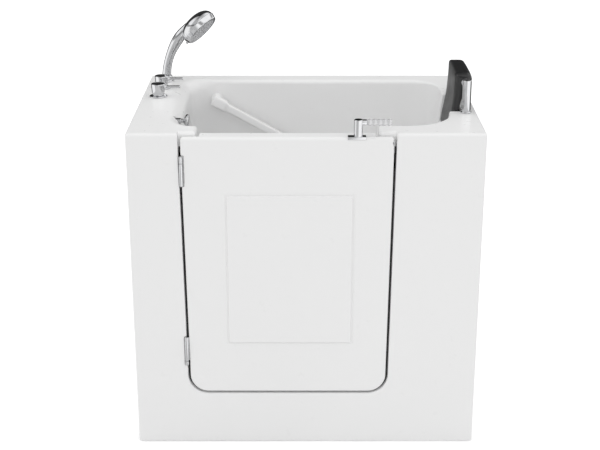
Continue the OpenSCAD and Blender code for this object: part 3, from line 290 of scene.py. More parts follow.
def cloudy(tree, place, scale, detail, roughness):
    """Smooth noise between 0 and 1, finer as the scale grows."""
    links = [("Vector", place), ("Scale", scale)]
    return node(tree, "TexNoise", links, Detail=detail, Roughness=roughness).outputs["Fac"]


# %% Node groups
both = {"Scale": 3.0, "Sharpness": 0.2}
moulding, start, end = new_group("moulded_unevenness", both, ["Height", "Patches"])
place = node(moulding, "TexCoord").outputs["Object"]
scale, sharpness = start.outputs["Scale"], start.outputs["Sharpness"]
clouds = cloudy(moulding, place, worked_out(moulding, "MULTIPLY", scale, 3.1), 4.0, 0.6)
low, high = (worked_out(moulding, how, 0.5, sharpness) for how in ("SUBTRACT", "ADD"))
patch = node(moulding, "MapRange", [("Value", clouds), ("From Min", low), ("From Max", high)])
feed(moulding, end.inputs["Height"], cloudy(moulding, place, scale, 1.5, 0.4))
feed(moulding, end.inputs["Patches"], patch.outputs["Result"])

grain, start, end = new_group("fine_grain", {"Scale": 900.0}, ["Height"])
place, scale = node(grain, "TexCoord").outputs["Object"], start.outputs["Scale"]
cells = node(grain, "TexVoronoi", [("Vector", place), ("Scale", scale)], feature="SMOOTH_F1")
specks = cloudy(grain, place, scale, 2.0, 0.5)
feed(grain, end.inputs["Height"], worked_out(grain, "ADD", cells.outputs["Distance"], specks))

marks, start, end = new_group("hand_marks", {"Scale": 30.0}, ["Smudges"])
place = node(marks, "TexCoord").outputs["Object"]
feed(marks, end.inputs["Smudges"], cloudy(marks, place, start.outputs["Scale"], 5.0, 0.65))
print("groups:", [g.name for g in bpy.data.node_groups])


# %% [markdown]
# ## A finish from a few numbers
# Every finish is two close tints mixed by slow patches, a roughness that wanders between two values,
# and two bumps, one slow and one fine. What tells the finishes apart is their numbers.


# %% The common start of a finish
def finish_from(name, tints, rough, patches, metal=0.0, slow_bump=0.0, grain_bump=(900, 0.0), specular=0.5):
    """Base colour = tint A mixed to tint B by the patches; roughness follows the smudges from the
    first value to the second; the normal is a slow bump under a fine one, both in metres. `patches`
    is a scale and a sharpness, `grain_bump` a scale and a height."""
    material = bpy.data.materials.new(name)
    material.use_nodes = True
    tree = material.node_tree
    shader = tree.nodes["Principled BSDF"]
    shader.inputs["Metallic"].default_value = metal
    shader.inputs["Specular IOR Level"].default_value = specular
    uneven = node(tree, "Group", node_tree=moulding, Scale=patches[0], Sharpness=patches[1])
    handled = node(tree, "Group", node_tree=marks)
    texture = node(tree, "Group", node_tree=grain, Scale=grain_bump[0])
    wander = node(
        tree, "MapRange", [("Value", handled.outputs["Smudges"])],
        From_Min=0.3, From_Max=0.7, To_Min=rough[0], To_Max=rough[1])
    slow = node(
        tree, "Bump", [("Height", uneven.outputs["Height"])], Strength=1.0, Distance=slow_bump)
    fine = node(
        tree, "Bump", [("Height", texture.outputs["Height"]), ("Normal", slow.outputs["Normal"])],
        Strength=1.0, Distance=grain_bump[1])
    feed(tree, shader.inputs["Base Color"], blend(tree, uneven.outputs["Patches"], *tints))
    feed(tree, shader.inputs["Roughness"], wander.outputs["Result"])
    feed(tree, shader.inputs["Normal"], fine.outputs["Normal"])
    return material


# %% [markdown]
# ## The tub's own finishes
# The shell is white sanitary acrylic: glossy but a little soft. The fittings are chrome over brass,
# the hidden frame is painted steel, the screws and feet are zinc plated, and the headrest has the
# leathery skin of moulded foam. Each could be one flat colour, but small changes in tint and shine
# are what make them read as real.

# %% Acrylic, chrome and the other finishes
# Slot: material, two tints, roughness, patches (scale, sharpness), and what differs from the rest.
RECIPES = {
    "acrylic": ("white_acrylic", [(0.932, 0.933, 0.933), (0.94, 0.94, 0.938)], (0.27, 0.32), (2, 0.45),
        dict(slow_bump=0.0004, specular=0.24)),
    "chrome": ("polished_chrome", [(0.84, 0.85, 0.87), (0.9, 0.9, 0.91)], (0.045, 0.11), (25, 0.2),
        dict(metal=1)),
    "frame_steel": ("grey_frame_paint", [(0.24, 0.255, 0.27), (0.3, 0.315, 0.33)], (0.38, 0.55), (9, 0.15),
        dict(slow_bump=0.0004, grain_bump=(450, 6e-5))),
    "zinc": ("zinc_plating", [(0.5, 0.51, 0.54), (0.68, 0.68, 0.66)], (0.25, 0.5), (60, 0.12),
        dict(metal=1, grain_bump=(1500, 3e-5))),
    "brass": ("turned_brass", [(0.55, 0.38, 0.16), (0.72, 0.55, 0.27)], (0.22, 0.4), (40, 0.2),
        dict(metal=1, grain_bump=(1200, 3e-5))),
    "seal_rubber": ("door_seal_rubber", [(0.03, 0.03, 0.032), (0.05, 0.05, 0.052)], (0.5, 0.7), (30, 0.2),
        dict(grain_bump=(1400, 6e-5))),
    "foot_rubber": ("foot_rubber", [(0.02, 0.02, 0.02), (0.045, 0.044, 0.042)], (0.6, 0.85), (50, 0.2),
        dict(grain_bump=(1100, 0.0001))),
    "pad_foam": ("skinned_foam", [(0.016, 0.016, 0.017), (0.024, 0.024, 0.025)], (0.27, 0.36), (18, 0.25),
        dict(slow_bump=0.0008, grain_bump=(650, 0.0001), specular=0.75)),
    "grip_plastic": ("ribbed_grip_plastic", [(0.76, 0.76, 0.77), (0.82, 0.82, 0.83)], (0.1, 0.16), (60, 0.2),
        dict(metal=0.4, grain_bump=(1300, 3e-5))),
    "nozzle_plastic": ("spray_face_plastic", [(0.54, 0.545, 0.56), (0.62, 0.625, 0.64)], (0.2, 0.32), (50, 0.2),
        dict(grain_bump=(1500, 3e-5))),
    "pipe_plastic": ("white_pipe_plastic", [(0.7, 0.7, 0.69), (0.78, 0.78, 0.77)], (0.35, 0.5), (14, 0.2),
        dict(grain_bump=(1300, 4e-5))),
    "core_board": ("foam_core_board", [(0.62, 0.52, 0.33), (0.74, 0.65, 0.45)], (0.75, 0.95), (25, 0.15),
        dict(grain_bump=(350, 0.0006))),
    "cable_sheath": ("cable_sheath", [(0.015, 0.015, 0.016), (0.03, 0.03, 0.031)], (0.35, 0.5), (40, 0.2),
        dict(grain_bump=(1600, 5e-5))),
}
FINISHES = {slot: finish_from(*plain, **more) for slot, (*plain, more) in RECIPES.items()}
print("finishes:", sorted(FINISHES))

# %% [markdown]
# Chrome beside a white tub would mirror mostly white, but is darker than that in the photograph. So
# a reflected ray, which the Light Path node tells from the others, sees the acrylic as a grey.

# %% The acrylic as chrome sees it: painted shade in reflections
# Painted shade in reflections: glossy rays see the acrylic's colour swapped for this grey, so chrome mirrors
# the tub darker.
PAINTED_MIRROR_SHADE = 0.6
tree = FINISHES["acrylic"].node_tree
tub_colour = tree.nodes["Principled BSDF"].inputs["Base Color"]
mirrored_ray = node(tree, "LightPath").outputs["Is Glossy Ray"]
feed(tree, tub_colour, blend(tree, mirrored_ray, tub_colour.links[0].from_socket, PAINTED_MIRROR_SHADE))
print("reflected rays see the acrylic as a grey of", PAINTED_MIRROR_SHADE)

# %% [markdown]
# ## CAD parts that keep their shape
# Nuts, screws, pipes and frame tubes are right as the CAD made them, and get the finish of their own
# slot. Panels and plates have square edges in the CAD, so a merged copy with a small bevel takes their
# place, because even a thin bright line along an edge tells the eye that it is real.


# %% Finishes for the CAD nodes
SLOTS = {name: made.material_slots[0].material.name.split(".")[0] for name, made in nodes.items()}
for name, made in nodes.items():
    for holder in made.material_slots:
        holder.link = "OBJECT"
        holder.material = FINISHES[SLOTS[name]]


def merge_triangles(work):
    """Joins the loose triangles of a CAD mesh into whole faces."""
    bmesh.ops.remove_doubles(work, verts=work.verts, dist=2e-5)
    bmesh.ops.dissolve_limit(work, angle_limit=math.radians(0.5), verts=work.verts, edges=work.edges)


def eased_copy(name, width):
    """A copy of a CAD node with its triangles merged and its edges bevelled by `width`."""
    mesh = reworked(nodes[name].data.copy(), 35, merge_triangles)
    bevel = settle(name + "_eased", mesh, SLOTS[name], (name,)).modifiers.new("edges", "BEVEL")
    bevel.width, bevel.segments = width * MM, 2
    bevel.limit_method, bevel.angle_limit = "ANGLE", math.radians(50)


for name in ("left_end_panel", "right_end_panel"):
    eased_copy(name, 1.2)
for name in ("latch_faceplate", "latch_keeper"):
    eased_copy(name, 0.3)
print("slots in use:", sorted(set(SLOTS.values())))

# %% [markdown]
# ## The moulded shell
# The shell is one heated sheet drawn over a mould, with soft coves and a deck that rolls into the
# basin. Joining boxes and bevelling them would leave pinched corners where several roundings meet. So
# the shell is one field instead: a formula that is negative inside the plastic and positive outside.
# Two forms are combined with a soft maximum or minimum, whose rounding radius is a plain number.


# %% Soft maximum and minimum
def soft_max(a, b, r, power=2.0):
    """Meeting of two solids with a rounded edge: min(-r, max(a, b)) plus the length of the pair
    (a + r, b + r), each no less than nought. A power above 2 gives a fuller corner."""
    ra, rb = np.maximum(a + r, 0), np.maximum(b + r, 0)
    length = np.hypot(ra, rb) if power == 2.0 else (ra**power + rb**power) ** (1 / power)
    return np.minimum(-r, np.maximum(a, b)) + length


def soft_min(a, b, r):
    """Joining of two solids with a cove of radius r: the soft maximum of their opposites, turned."""
    return -soft_max(-a, -b, r)


def most(*fields):
    """The largest of several fields, point by point: where all the solids overlap."""
    return functools.reduce(np.maximum, fields)


def least(*fields):
    """The smallest of several fields: where any of the solids is."""
    return functools.reduce(np.minimum, fields)


def rising(v, lo, hi):
    """0 below lo, 1 above hi, and 3s^2 - 2s^3 between."""
    s = np.clip((v - lo) / (hi - lo), 0, 1)
    return s * s * (3 - 2 * s)


# %% [markdown]
# The field of the shell follows the CAD's numbers: a deck at 953 mm, a front at -343 mm, a basin
# whose head end leans back by 7.5 degrees, a seat at 560 mm and a footwell at 150 mm. The door
# opening is a little narrower at its foot. The places are the CAD's, and the roundings are judged
# against the photograph.

# %% The shell's field
DECK, FRONT, BACK, HALF_LENGTH = 953.0, -343.0, 343.0, 495.5
SILL, LIP = 165.0, -323.0
DOOR_MIDDLE, DOOR_HALF, DOOR_TAPER = -51.5, 292.5, 10.0
HINGE = (-345.171, -344.0)
HINGE_SPANS = ((846.0, 44.3), (299.0, 45.3))
BORE_SHIFT, BORE_RADIUS = 1.2, 7.2
TAP_WALL, HEAD_WALL, FRONT_WALL, BACK_WALL = -361.5, 416.5, -251.0, 270.0
SEAT, SEAT_EDGE, FOOTWELL, LEAN_TOP, LEAN = 560.0, 3.6, 150.0, 947.0, math.radians(7.5)
WASTE_X, OVERFLOW_Y, OVERFLOW_Z = -200.5, -142.0, 935.0


def door_outline(x, z, grow, corner):
    """Distance to the door's outline: its two sides lean, its foot is level, and the two meet in a
    corner of the given radius. It is open at the top."""
    half = DOOR_HALF + DOOR_TAPER * ((z - SILL) / (DECK - SILL) - 0.5)
    return soft_max(np.abs(x - DOOR_MIDDLE) - half - grow, SILL - z - grow, corner)


def hinge_room(x, y, z):
    """Negative inside two upright bores, in which the hinge barrels stand."""
    across = np.hypot(x - HINGE[0] - BORE_SHIFT, y - HINGE[1]) - BORE_RADIUS
    along = least(*(np.abs(z - middle) - half for middle, half in HINGE_SPANS))
    return np.maximum(across, along)


def basin_room(x, y, z):
    """Space above the footwell and the seat, between walls whose four corners differ; positive
    inside. The head end leans back, and a cove of 34 mm runs round the bottom."""
    cove = 34.0
    head = x - (HEAD_WALL - (LEAN_TOP - np.clip(z, SEAT, LEAN_TOP)) * math.tan(LEAN))
    tap, back, front = TAP_WALL - x, y - BACK_WALL, FRONT_WALL - y
    corners = ((head, back, 106.0), (tap, back, 64.0), (tap, front, 112.0), (head, front, 151.0))
    walls = most(*(soft_max(end, side, radius, 2.35) for end, side, radius in corners))
    ground = soft_min(z - FOOTWELL, soft_max(z - SEAT, SEAT_EDGE - x, 28.0), cove)
    return -soft_max(walls, -ground, cove), ground


def shell_field(x, y, z):
    """Negative inside the plastic. The front stands before the door's recess and the lip behind it;
    the basin, the doorway, the headrest's recess and the bores are then taken away."""
    top = z - DECK
    recess = door_outline(x, z, 3.5, 58.5)
    apron = soft_max(soft_max(top, FRONT - y, 9.0), -recess, 3.0)
    lip = soft_max(top, LIP - y, 11.0)
    whole = soft_max(np.minimum(apron, lip), np.abs(x) - HALF_LENGTH, 6.0)
    whole = soft_max(whole, y - BACK, 3.0)
    room, ground = basin_room(x, y, z)
    roll = 12.0 + 26.0 * rising(-x, 270, 352) - 6.0 * rising(x, 340, 400)
    whole = soft_max(whole, room, roll)
    doorway = door_outline(x, z, -45.0, 45.0)
    way = least(most(doorway, y + 263), most(doorway, y + 214, -ground))
    whole = soft_max(whole, -way, 9.0)
    rest = most(soft_max(x - 450.5, np.abs(y) - 99.5, 6.0), 865 - z, 300 - x)
    whole = soft_max(whole, -rest, 7.0)
    waste = most(np.hypot(x - WASTE_X, y) - 23.3, z - 175)
    whole = soft_max(whole, -waste, 1.5)
    overflow = most(np.hypot(y - OVERFLOW_Y, z - OVERFLOW_Z) - 8.3, -391 - x, x + 326)
    whole = soft_max(whole, -overflow, 1.0)
    return np.maximum(whole, -hinge_room(x, y, z))


deck_edge, mid_air = shell_field(0.0, 320.0, 940.0), shell_field(0.0, 0.0, 800.0)
print("field at the deck's middle edge and in the basin:", float(deck_edge), float(mid_air))

# %% [markdown]
# ## From a field to a surface
# The field is measured on a grid of lines that lie closer together where an edge is tight. Each cell
# that the surface passes through gets one point, at the average of its crossings, and four cells
# round a crossed edge make one face. The points are then moved onto the surface along the field's
# slope, which is also the smooth normal. Marching cubes would work too, but give uneven triangles.


# %% Grid lines and the surface
def grid_lines(lo, hi, step, bands=()):
    """Lines from lo to hi, a `step` apart, or closer inside each band (from, to, step)."""
    cuts = sorted({lo, hi, *(v for a, b, _ in bands for v in (a, b) if lo < v < hi)})
    out = [np.array([lo])]
    for a, b in zip(cuts[:-1], cuts[1:]):
        here = min([step] + [s for p, q, s in bands if p <= (a + b) / 2 <= q])
        out.append(np.linspace(a, b, max(1, round((b - a) / here)) + 1)[1:])
    return np.concatenate(out)


def slope(field, p, h=0.02):
    """Change of the field along x, y and z, from the values a hair to either side."""
    shift = np.eye(3) * h
    return np.stack([(field(*(p + s).T) - field(*(p - s).T)) / (2 * h) for s in shift], -1)


def surface(field, xs, ys, zs):
    """Points, outward normals and faces where the field is nought."""
    value = field(xs[:, None, None], ys[None, :, None], zs[None, None, :])
    inside = value < 0
    lines = (xs, ys, zs)
    nx, ny, nz = (len(line) - 1 for line in lines)
    steps = [(i, j, k) for i in (0, 1) for j in (0, 1) for k in (0, 1)]
    count = np.sum([inside[i:nx + i, j:ny + j, k:nz + k] for i, j, k in steps], axis=0, dtype=np.int8)
    cell = np.argwhere((count > 0) & (count < 8))
    corner = np.stack([value[tuple((cell + step).T)] for step in steps], -1).reshape(-1, 2, 2, 2)
    total, crossings = np.zeros((len(cell), 3)), np.zeros(len(cell))
    for axis in range(3):
        pair = np.moveaxis(corner, axis + 1, 1).reshape(-1, 2, 4)
        others = [n for n in range(3) if n != axis]
        crossed = (pair[:, 0] < 0) != (pair[:, 1] < 0)
        t = np.where(crossed, pair[:, 0] / np.where(crossed, pair[:, 0] - pair[:, 1], 1), 0)
        total[:, axis] += t.sum(1)
        total[:, others[0]] += crossed[:, 2:].sum(1)
        total[:, others[1]] += crossed[:, 1::2].sum(1)
        crossings += crossed.sum(1)
    share = total / crossings[:, None]
    low = np.stack([line[cell[:, n]] for n, line in enumerate(lines)], -1)
    size = np.stack([line[cell[:, n] + 1] for n, line in enumerate(lines)], -1) - low
    points = low + share * size
    lowest = cell[:, 2] == 0
    for _ in range(4):
        g, v = slope(field, points), field(*points.T)
        move = -g * (v / np.maximum((g * g).sum(1), 0.05))[:, None]
        points += np.clip(move, -0.4 * size, 0.4 * size)
        points[lowest, 2] = zs[0]
    normals = slope(field, points)
    normals /= np.maximum(np.linalg.norm(normals, axis=1), 1e-9)[:, None]
    number = np.full(count.shape, -1, np.int64)
    number[tuple(cell.T)] = np.arange(len(cell))
    faces = []
    for axis in range(3):
        a = np.moveaxis(inside, axis, 0)
        edge = a[:-1, 1:-1, 1:-1] != a[1:, 1:-1, 1:-1]
        i, j, k = np.argwhere(edge).T
        n = np.moveaxis(number, axis, 0)
        quad = np.stack([n[i, j, k], n[i, j + 1, k], n[i, j + 1, k + 1], n[i, j, k + 1]], -1)
        outward = a[i, j + 1, k + 1] != (axis == 1)
        faces.append(np.where(outward[:, None], quad, quad[:, ::-1]))
    return points, normals, np.concatenate(faces)


def only_used(points, normals, faces):
    """Leaves out the points that no face uses, and numbers the rest anew."""
    used, again = np.unique(faces, return_inverse=True)
    return points[used], normals[used], again.reshape(faces.shape)


print("lines across the door's top edge:", grid_lines(925, 960, 7, [(935, 955, 3)]).round(1).tolist())

# %% [markdown]
# The sheet has a thickness of 8 mm, and less where the door's bolt runs beside it. The outer face is
# copied inwards along its normals and turned round, and wherever the sheet ends, a strip of faces
# joins the two. A Solidify modifier does the same, but worked out here the two sides keep their
# exact smooth normals.


# %% Thickness, and a mesh with its own normals
def with_wall(points, normals, faces, thick):
    """Points p and p - thick * normal; an edge that only one face uses is a rim, closed by a face."""
    n = len(points)
    edges = np.stack([faces, np.roll(faces, -1, axis=1)], -1).reshape(-1, 2)
    key, mirror = edges[:, 0] * n + edges[:, 1], edges[:, 1] * n + edges[:, 0]
    rim = edges[~np.isin(key, mirror)]
    strip = np.stack([rim[:, 1], rim[:, 0], rim[:, 0] + n, rim[:, 1] + n], -1)
    points = np.concatenate([points, points - thick * normals])
    a, b, c = (points[strip[:, i]] for i in (0, 1, 2))
    flat = np.cross(b - a, c - b)
    flat /= np.maximum(np.linalg.norm(flat, axis=1), 1e-9)[:, None]
    per_corner = [normals[faces], -normals[faces[:, ::-1]], np.repeat(flat[:, None], 4, axis=1)]
    return points, np.concatenate([faces, faces[:, ::-1] + n, strip]), np.concatenate(per_corner)


def moulded_piece(name, points, faces, corner_normals, finish, stands_for):
    """Fills the mesh straight from the arrays and hands it the field's own normals."""
    mesh = bpy.data.meshes.new(name)
    mesh.vertices.add(len(points))
    mesh.vertices.foreach_set("co", (points * MM).ravel())
    mesh.loops.add(faces.size)
    mesh.loops.foreach_set("vertex_index", faces.ravel())
    mesh.polygons.add(len(faces))
    mesh.polygons.foreach_set("loop_start", np.arange(0, faces.size, 4))
    mesh.update(calc_edges=True)
    mesh.shade_smooth()
    mesh.normals_split_custom_set(corner_normals.reshape(-1, 3))
    return settle(name, mesh, finish, stands_for)


# %% [markdown]
# The two ends of the tub are open below a short skirt, because the end panels close them, and so is
# the back. Those faces are left out of the sheet, as are the bores where they go deeper than the
# sheet, and a slot for the bolt behind its keeper. The sheet is then shared between three pieces, so
# that no mesh grows too large: the apron with its lip, the deck with the upper walls, and the basin
# below. The normals come from the field, so no seam shows.

# %% The apron, the deck and the basin
SHEET, THIN_SHEET, SKIRT_FOOT, APRON_FOOT, PARTING, SEAM = 8.0, 3.0, 905.0, 4.0, -292.0, 780.0
keeper = np.array(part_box("latch_keeper")) / MM
KEEPER_X, BOLT_Y, BOLT_Z = keeper[0, 0], keeper[:, 1].mean(), keeper[:, 2].mean()
LEVELS = [(251, 257, 3), (341, 347, 3), (799, 805, 3), (887, 893, 3)]
xs = grid_lines(-504, 504, 7.2, [
    (-504, -486, 3), (-403, -359, 4.5), (-358, -336, 2.6), (-309, -288, 4), (185, 207, 4), (234, 256, 2.6),
    (410, 425, 3), (444, 454, 3), (486, 504, 3)])
ys = grid_lines(-352, 352, 7.2, [
    (-347, -318, 2.8), (-266, -243, 4), (-152, -132, 2.5), (-103, -93, 3), (93, 103, 3), (262, 288, 4),
    (334, 352, 3)])
zs = grid_lines(APRON_FOOT, 961, 7.2, [(161, 172, 3), *LEVELS, (861, 869, 3), (927, 961, 3)])
points, normals, faces = surface(shell_field, xs, ys, zs)
x, y, z = points[faces].mean(1).T
gone = (np.abs(x) > 494) & (z < SKIRT_FOOT) & (y > FRONT + SHEET)
gone |= (y > 341) & (z < SKIRT_FOOT)
gone |= (np.hypot(x - WASTE_X, y) < 26) & (z < FOOTWELL - SHEET)
gone |= (np.hypot(y - OVERFLOW_Y, z - OVERFLOW_Z) < 13) & (x < -371) & (x > -406)
gone |= (np.abs(x - KEEPER_X) < 4) & (np.abs(y - BOLT_Y) < 5.5) & (np.abs(z - BOLT_Z) < 14.5)
inner = y >= PARTING
shares = {"tub_apron": ~inner, "tub_deck": inner & (z >= SEAM), "tub_basin": inner & (z < SEAM)}
for name, share in shares.items():
    p, n, f = only_used(points, normals, faces[share & ~gone])
    by_bolt = (np.abs(p[:, 2] - BOLT_Z) < 18) & (np.abs(p[:, 0] - KEEPER_X - 12) < 16) & (p[:, 1] < -330)
    thick = np.where(by_bolt, THIN_SHEET, SHEET)[:, None]
    moulded_piece(name, *with_wall(p, n, f, thick), "acrylic", ("tub_shell",))
print("grid", len(xs), len(ys), len(zs), "shell points", len(points))

# %% [markdown]
# ## The door
# The door is a shallow pan: a skin that lies flush with the apron, and behind it a smaller plug that
# fills the doorway. A plain rectangle stands 4.5 mm proud in the middle of the skin, with a shallow
# groove round it. The same field method gives the door's edges the softness of the tub's.

# %% The door's field and surface
DOOR_TOP, DOOR_BACK, PLUG_BACK = 942.0, -327.0, -286.0
FIELD_X, FIELD_Z, FIELD_W, FIELD_H, FIELD_RISE = -45.5, 550.0, 351.0, 444.0, 4.5


def door_field(x, y, z):
    """Negative inside the door: the skin joined to its plug, less the hinges' bores and the bolt's way."""
    outline = soft_max(door_outline(x, z, -3.6, 51.4), z - DOOR_TOP, 10.0)
    edge = least(FIELD_W / 2 - np.abs(x - FIELD_X), FIELD_H / 2 - np.abs(z - FIELD_Z))
    groove = 1.2 * np.exp(-(((edge + 3.4) / 1.4) ** 2))
    before = FRONT - FIELD_RISE * rising(edge, -1.5, 1.5) + groove - y
    skin = soft_max(outline, before, 3.0 + 5.5 * rising(z, 900, 936))
    skin = soft_max(skin, y - DOOR_BACK, 1.5)
    plug = soft_max(door_outline(x, z, -53.0, 45.0), z - DOOR_TOP + 0.3, 4.0)
    plug = np.maximum(soft_max(plug, y - PLUG_BACK, 9.0), -335 - y)
    bolt_way = most(np.abs(y - BOLT_Y) - 4.8, np.abs(z - BOLT_Z) - 11.5, 222 - x)
    return np.maximum(np.minimum(skin, plug), -least(hinge_room(x, y, z), bolt_way))


left, right = FIELD_X - FIELD_W / 2, FIELD_X + FIELD_W / 2
low, high = FIELD_Z - FIELD_H / 2, FIELD_Z + FIELD_H / 2
xs = grid_lines(-352, 250, 7.2, [
    (-352, -330, 2.6), (-299, -284, 3.5), (left - 6, left + 3, 1), (right - 3, right + 6, 1), (180, 195, 3.5),
    (228, 250, 2.6)])
ys = grid_lines(-352, -279, 5.2, [(-347, -320, 2.8), (-297, -281, 3)])
zs = grid_lines(160, 950, 7.2, [
    (163, 180, 3), (low - 6, low + 3, 1), (high - 3, high + 6, 1), *LEVELS, (BOLT_Z - 14, 947, 3)])
points, normals, faces = surface(door_field, xs, ys, zs - 1e-6)
points, normals, faces = only_used(points, normals, faces)
moulded_piece("door_moulding", points, faces, normals[faces], "acrylic", ("door_panel", "door_liner"))
print("door points", len(points))

# %% [markdown]
# ## The taps
# Two quarter-turn taps stand on the deck. Each has a flat ring, a body that flares upwards to a flat
# cap, and a thin round lever that points at the basin. All are lathe shapes. The thin dark line under
# the body is a real gap.


# %% Hot and cold taps
def middle_of(name):
    lo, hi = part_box(name)
    return np.array([(a + b) / 2 / MM for a, b in zip(lo, hi)])


TAP_X, LEVER_Z = -445.5, 983.3
for side in ("hot", "cold"):
    y = middle_of(side + "_escutcheon")[1]
    ring = soften([(0, DECK + 0.05), (27, DECK + 0.05), (27, 956), (24.5, 957.1), (0, 957.1)], 1.2)
    piece(side + "_deck_ring", [lathe(ring, (TAP_X, y, 0))], side + "_escutcheon")
    body = soften([
        (0, 957.5), (16.4, 957.5), (18, 958.8), (20, 978), (21.1, 991.2), (20.2, 993.3), (0, 993.0)], 1.2)
    boss = soften([(0, 14), (7.2, 14), (6.6, 21), (5.4, 25.6), (0, 25.6)], 1.0)
    turned = [lathe(body, (TAP_X, y, 0)), lathe(boss, (TAP_X, y, LEVER_Z), "x", 40)]
    piece(side + "_tap_body", turned, side + "_handle")
    rod = soften([(0, 19), (4, 19), (4, 63.5), (3.7, 66.1), (2.2, 67), (0, 67)], 1.0)
    piece(side + "_tap_rod", [lathe(rod, (TAP_X, y, LEVER_Z), "x", 32)], side + "_lever")

# %% [markdown]
# ## The hand shower
# The shower stands in a short cone on the deck. Its handle is a tube on a curve given by four points,
# and its head is a shallow dome with a loose face ring, a plate and three rings of small nozzles. The
# head is turned a little towards the camera.

# %% Hand shower
DOCK = np.array([-439.0, 267.0, 972.9])
HEAD = np.array([-333.5, 267.0, 1126.0])
TILT, YAW = math.radians(46.5), math.radians(17)
tilt = np.array([[math.cos(TILT), 0, -math.sin(TILT)], [0, 1, 0], [math.sin(TILT), 0, math.cos(TILT)]])
yaw = np.array([[1, 0, 0], [0, math.cos(YAW), math.sin(YAW)], [0, -math.sin(YAW), math.cos(YAW)]])
HEAD_TURN = tilt @ yaw
s = np.linspace(0, 1, 60)
grip_end = HEAD + [-21, 0, 14]
knots = np.stack([DOCK, DOCK + [2, 0, 53], grip_end - [57, 0, 54], grip_end])
weights = np.stack([(1 - s) ** 3, 3 * (1 - s) ** 2 * s, 3 * (1 - s) * s**2, s**3], -1)
radii = 11.4 + 2.8 * (1 - s) ** 2 + 5.5 * np.sin(np.pi * s * s) ** 2
radii[0], radii[-1] = 0, 0
tail = soften([(0, 957), (12, 957), (12, 972), (12.6, 973.2), (0, 973.2)], 0.5)
dome_angle = np.linspace(0, np.pi / 2, 24)
dome = np.stack([59.5 * np.sin(dome_angle) ** 0.89, 1 + 34 * np.maximum(np.cos(dome_angle), 0) ** 0.89], -1)
dome = np.concatenate([dome, [(59.5, 0.9), (0, 0.9)]])
foot_and_back = [lathe(tail, (DOCK[0], DOCK[1], 0), sides=48), lathe(dome, HEAD, HEAD_TURN)]
piece("shower_body", [sweep(weights @ knots, radii), *foot_and_back], "shower_handle")

# %% Face ring, nozzles and dock
band = soften([
    (48.4, -17.8), (54.5, -18), (56.3, -15.8), (60.2, -2), (60.5, 0.6), (48.4, 0.6), (48.4, -17.8)], 0.9)
tab_points, tab_faces = soft_block((-65.5, -5, -10.2), (-56.5, 5, -3.8), 2.0)
band_and_tab = [lathe(band, HEAD, HEAD_TURN, 72), (tab_points @ HEAD_TURN.T + HEAD, tab_faces)]
piece("spray_band", band_and_tab, "shower_face_ring")
plate = soften([(0, -12), (48.1, -12), (48.1, -16.2), (44.5, -16.9), (36, -16.5), (0, -16.2)], 0.8)
nozzle = [(0, -16), (1.9, -16), (1.5, -18.2), (0, -18.4)]
nozzles = []
for ring_radius, count in ((42.5 / 3, 6), (42.5 * 2 / 3, 12), (42.5, 18)):
    for a in np.arange(count) / count * 2 * np.pi:
        spot = HEAD + HEAD_TURN @ [ring_radius * math.cos(a), ring_radius * math.sin(a), 0]
        nozzles.append(lathe(nozzle, spot, HEAD_TURN, 12))
piece("spray_plate", [lathe(plate, HEAD, HEAD_TURN, 72), *nozzles], "nozzle_plate", finish="nozzle_plastic")
dock = soften([
    (12.25, DECK - 20), (12.25, 972.2), (15.2, 972.2), (16.4, 971), (18, 957), (22.2, 956.4), (23, 955.2),
    (23, DECK + 0.05), (15, DECK), (15, DECK - 20), (12.25, DECK - 20)], 0.8)
piece("shower_cone", [lathe(dock, (DOCK[0], DOCK[1], 0))], "shower_dock")

# %% [markdown]
# ## The headrest
# The pad is one block of moulded foam with a leathery skin: a rounded head over a thinner body that
# hangs down into the basin. Its section is a closed line, carried from one end to the other. Near the
# ends it shrinks along a quarter circle, so the pad has round edges, and its middle is a little
# fuller. It is stiff foam, so it keeps its shape without a cloth simulation.

# %% Headrest pad
PAD_HALF, PAD_END, PAD_INSET = 78, 18.9, 11
outline = np.array([
    (417, 869.6), (411.6, 873), (415.6, 905), (420.7, 931), (423.6, 949), (426.2, 966), (429, 1000),
    (430.2, 1029), (430.6, 1064.8), (473, 1064.8), (482.5, 1052), (483, 1028), (463, 1024), (459.5, 1003),
    (450.5, 960), (440, 905), (432.5, 870.5), (417, 869.6)])
loop = soften(outline, 11, 7)
loop = loop[np.concatenate([[True], np.linalg.norm(np.diff(loop, axis=0), axis=1) > 0.05])][:-1]
run = np.roll(loop, -1, axis=0) - np.roll(loop, 1, axis=0)
outwards = np.stack([-run[:, 1], run[:, 0]], -1) / np.linalg.norm(run, axis=1)[:, None]
quarter = np.linspace(0, np.pi / 2, 9)
end_places, end_inset = PAD_HALF + PAD_END * np.cos(quarter), PAD_INSET * (1 - np.sin(quarter))
station = np.concatenate([-end_places, np.linspace(-PAD_HALF, PAD_HALF, 30)[1:-1], end_places[::-1]])
inset = np.concatenate([end_inset, np.zeros(28), end_inset[::-1]])
fuller = 1.6 * (np.clip(1 - (station / 92) ** 2, 0, 1) ** 0.7 - 1)
share = 0.6 + 0.4 * rising(loop[:, 1], 1000, 1040)
section = loop[None] + outwards[None] * (fuller[:, None] - inset[:, None] * share)[..., None]
section_x, section_z = section[..., 0], section[..., 1]
pad_points = np.stack([section_x, station[:, None] + 0 * section_x, section_z], -1).reshape(-1, 3)
pad_faces = grid_faces(len(station), len(loop))
mesh = bpy.data.meshes.new("foam_pad")
first_end = list(range(len(loop)))
last_end = [n + (len(station) - 1) * len(loop) for n in first_end]
mesh.from_pydata((pad_points * MM).tolist(), [], pad_faces.tolist() + [first_end[::-1], last_end])
mesh = reworked(mesh, 60, lambda work: bmesh.ops.recalc_face_normals(work, faces=work.faces))
pad = settle("foam_pad", mesh, "pad_foam", ("headrest_pad",))

# %% [markdown]
# Two chrome posts carry the pad. A bush at each end of the pad turns on the rod between the posts,
# which lets the pad tilt. The posts have flat tops and a thin ring on the deck.

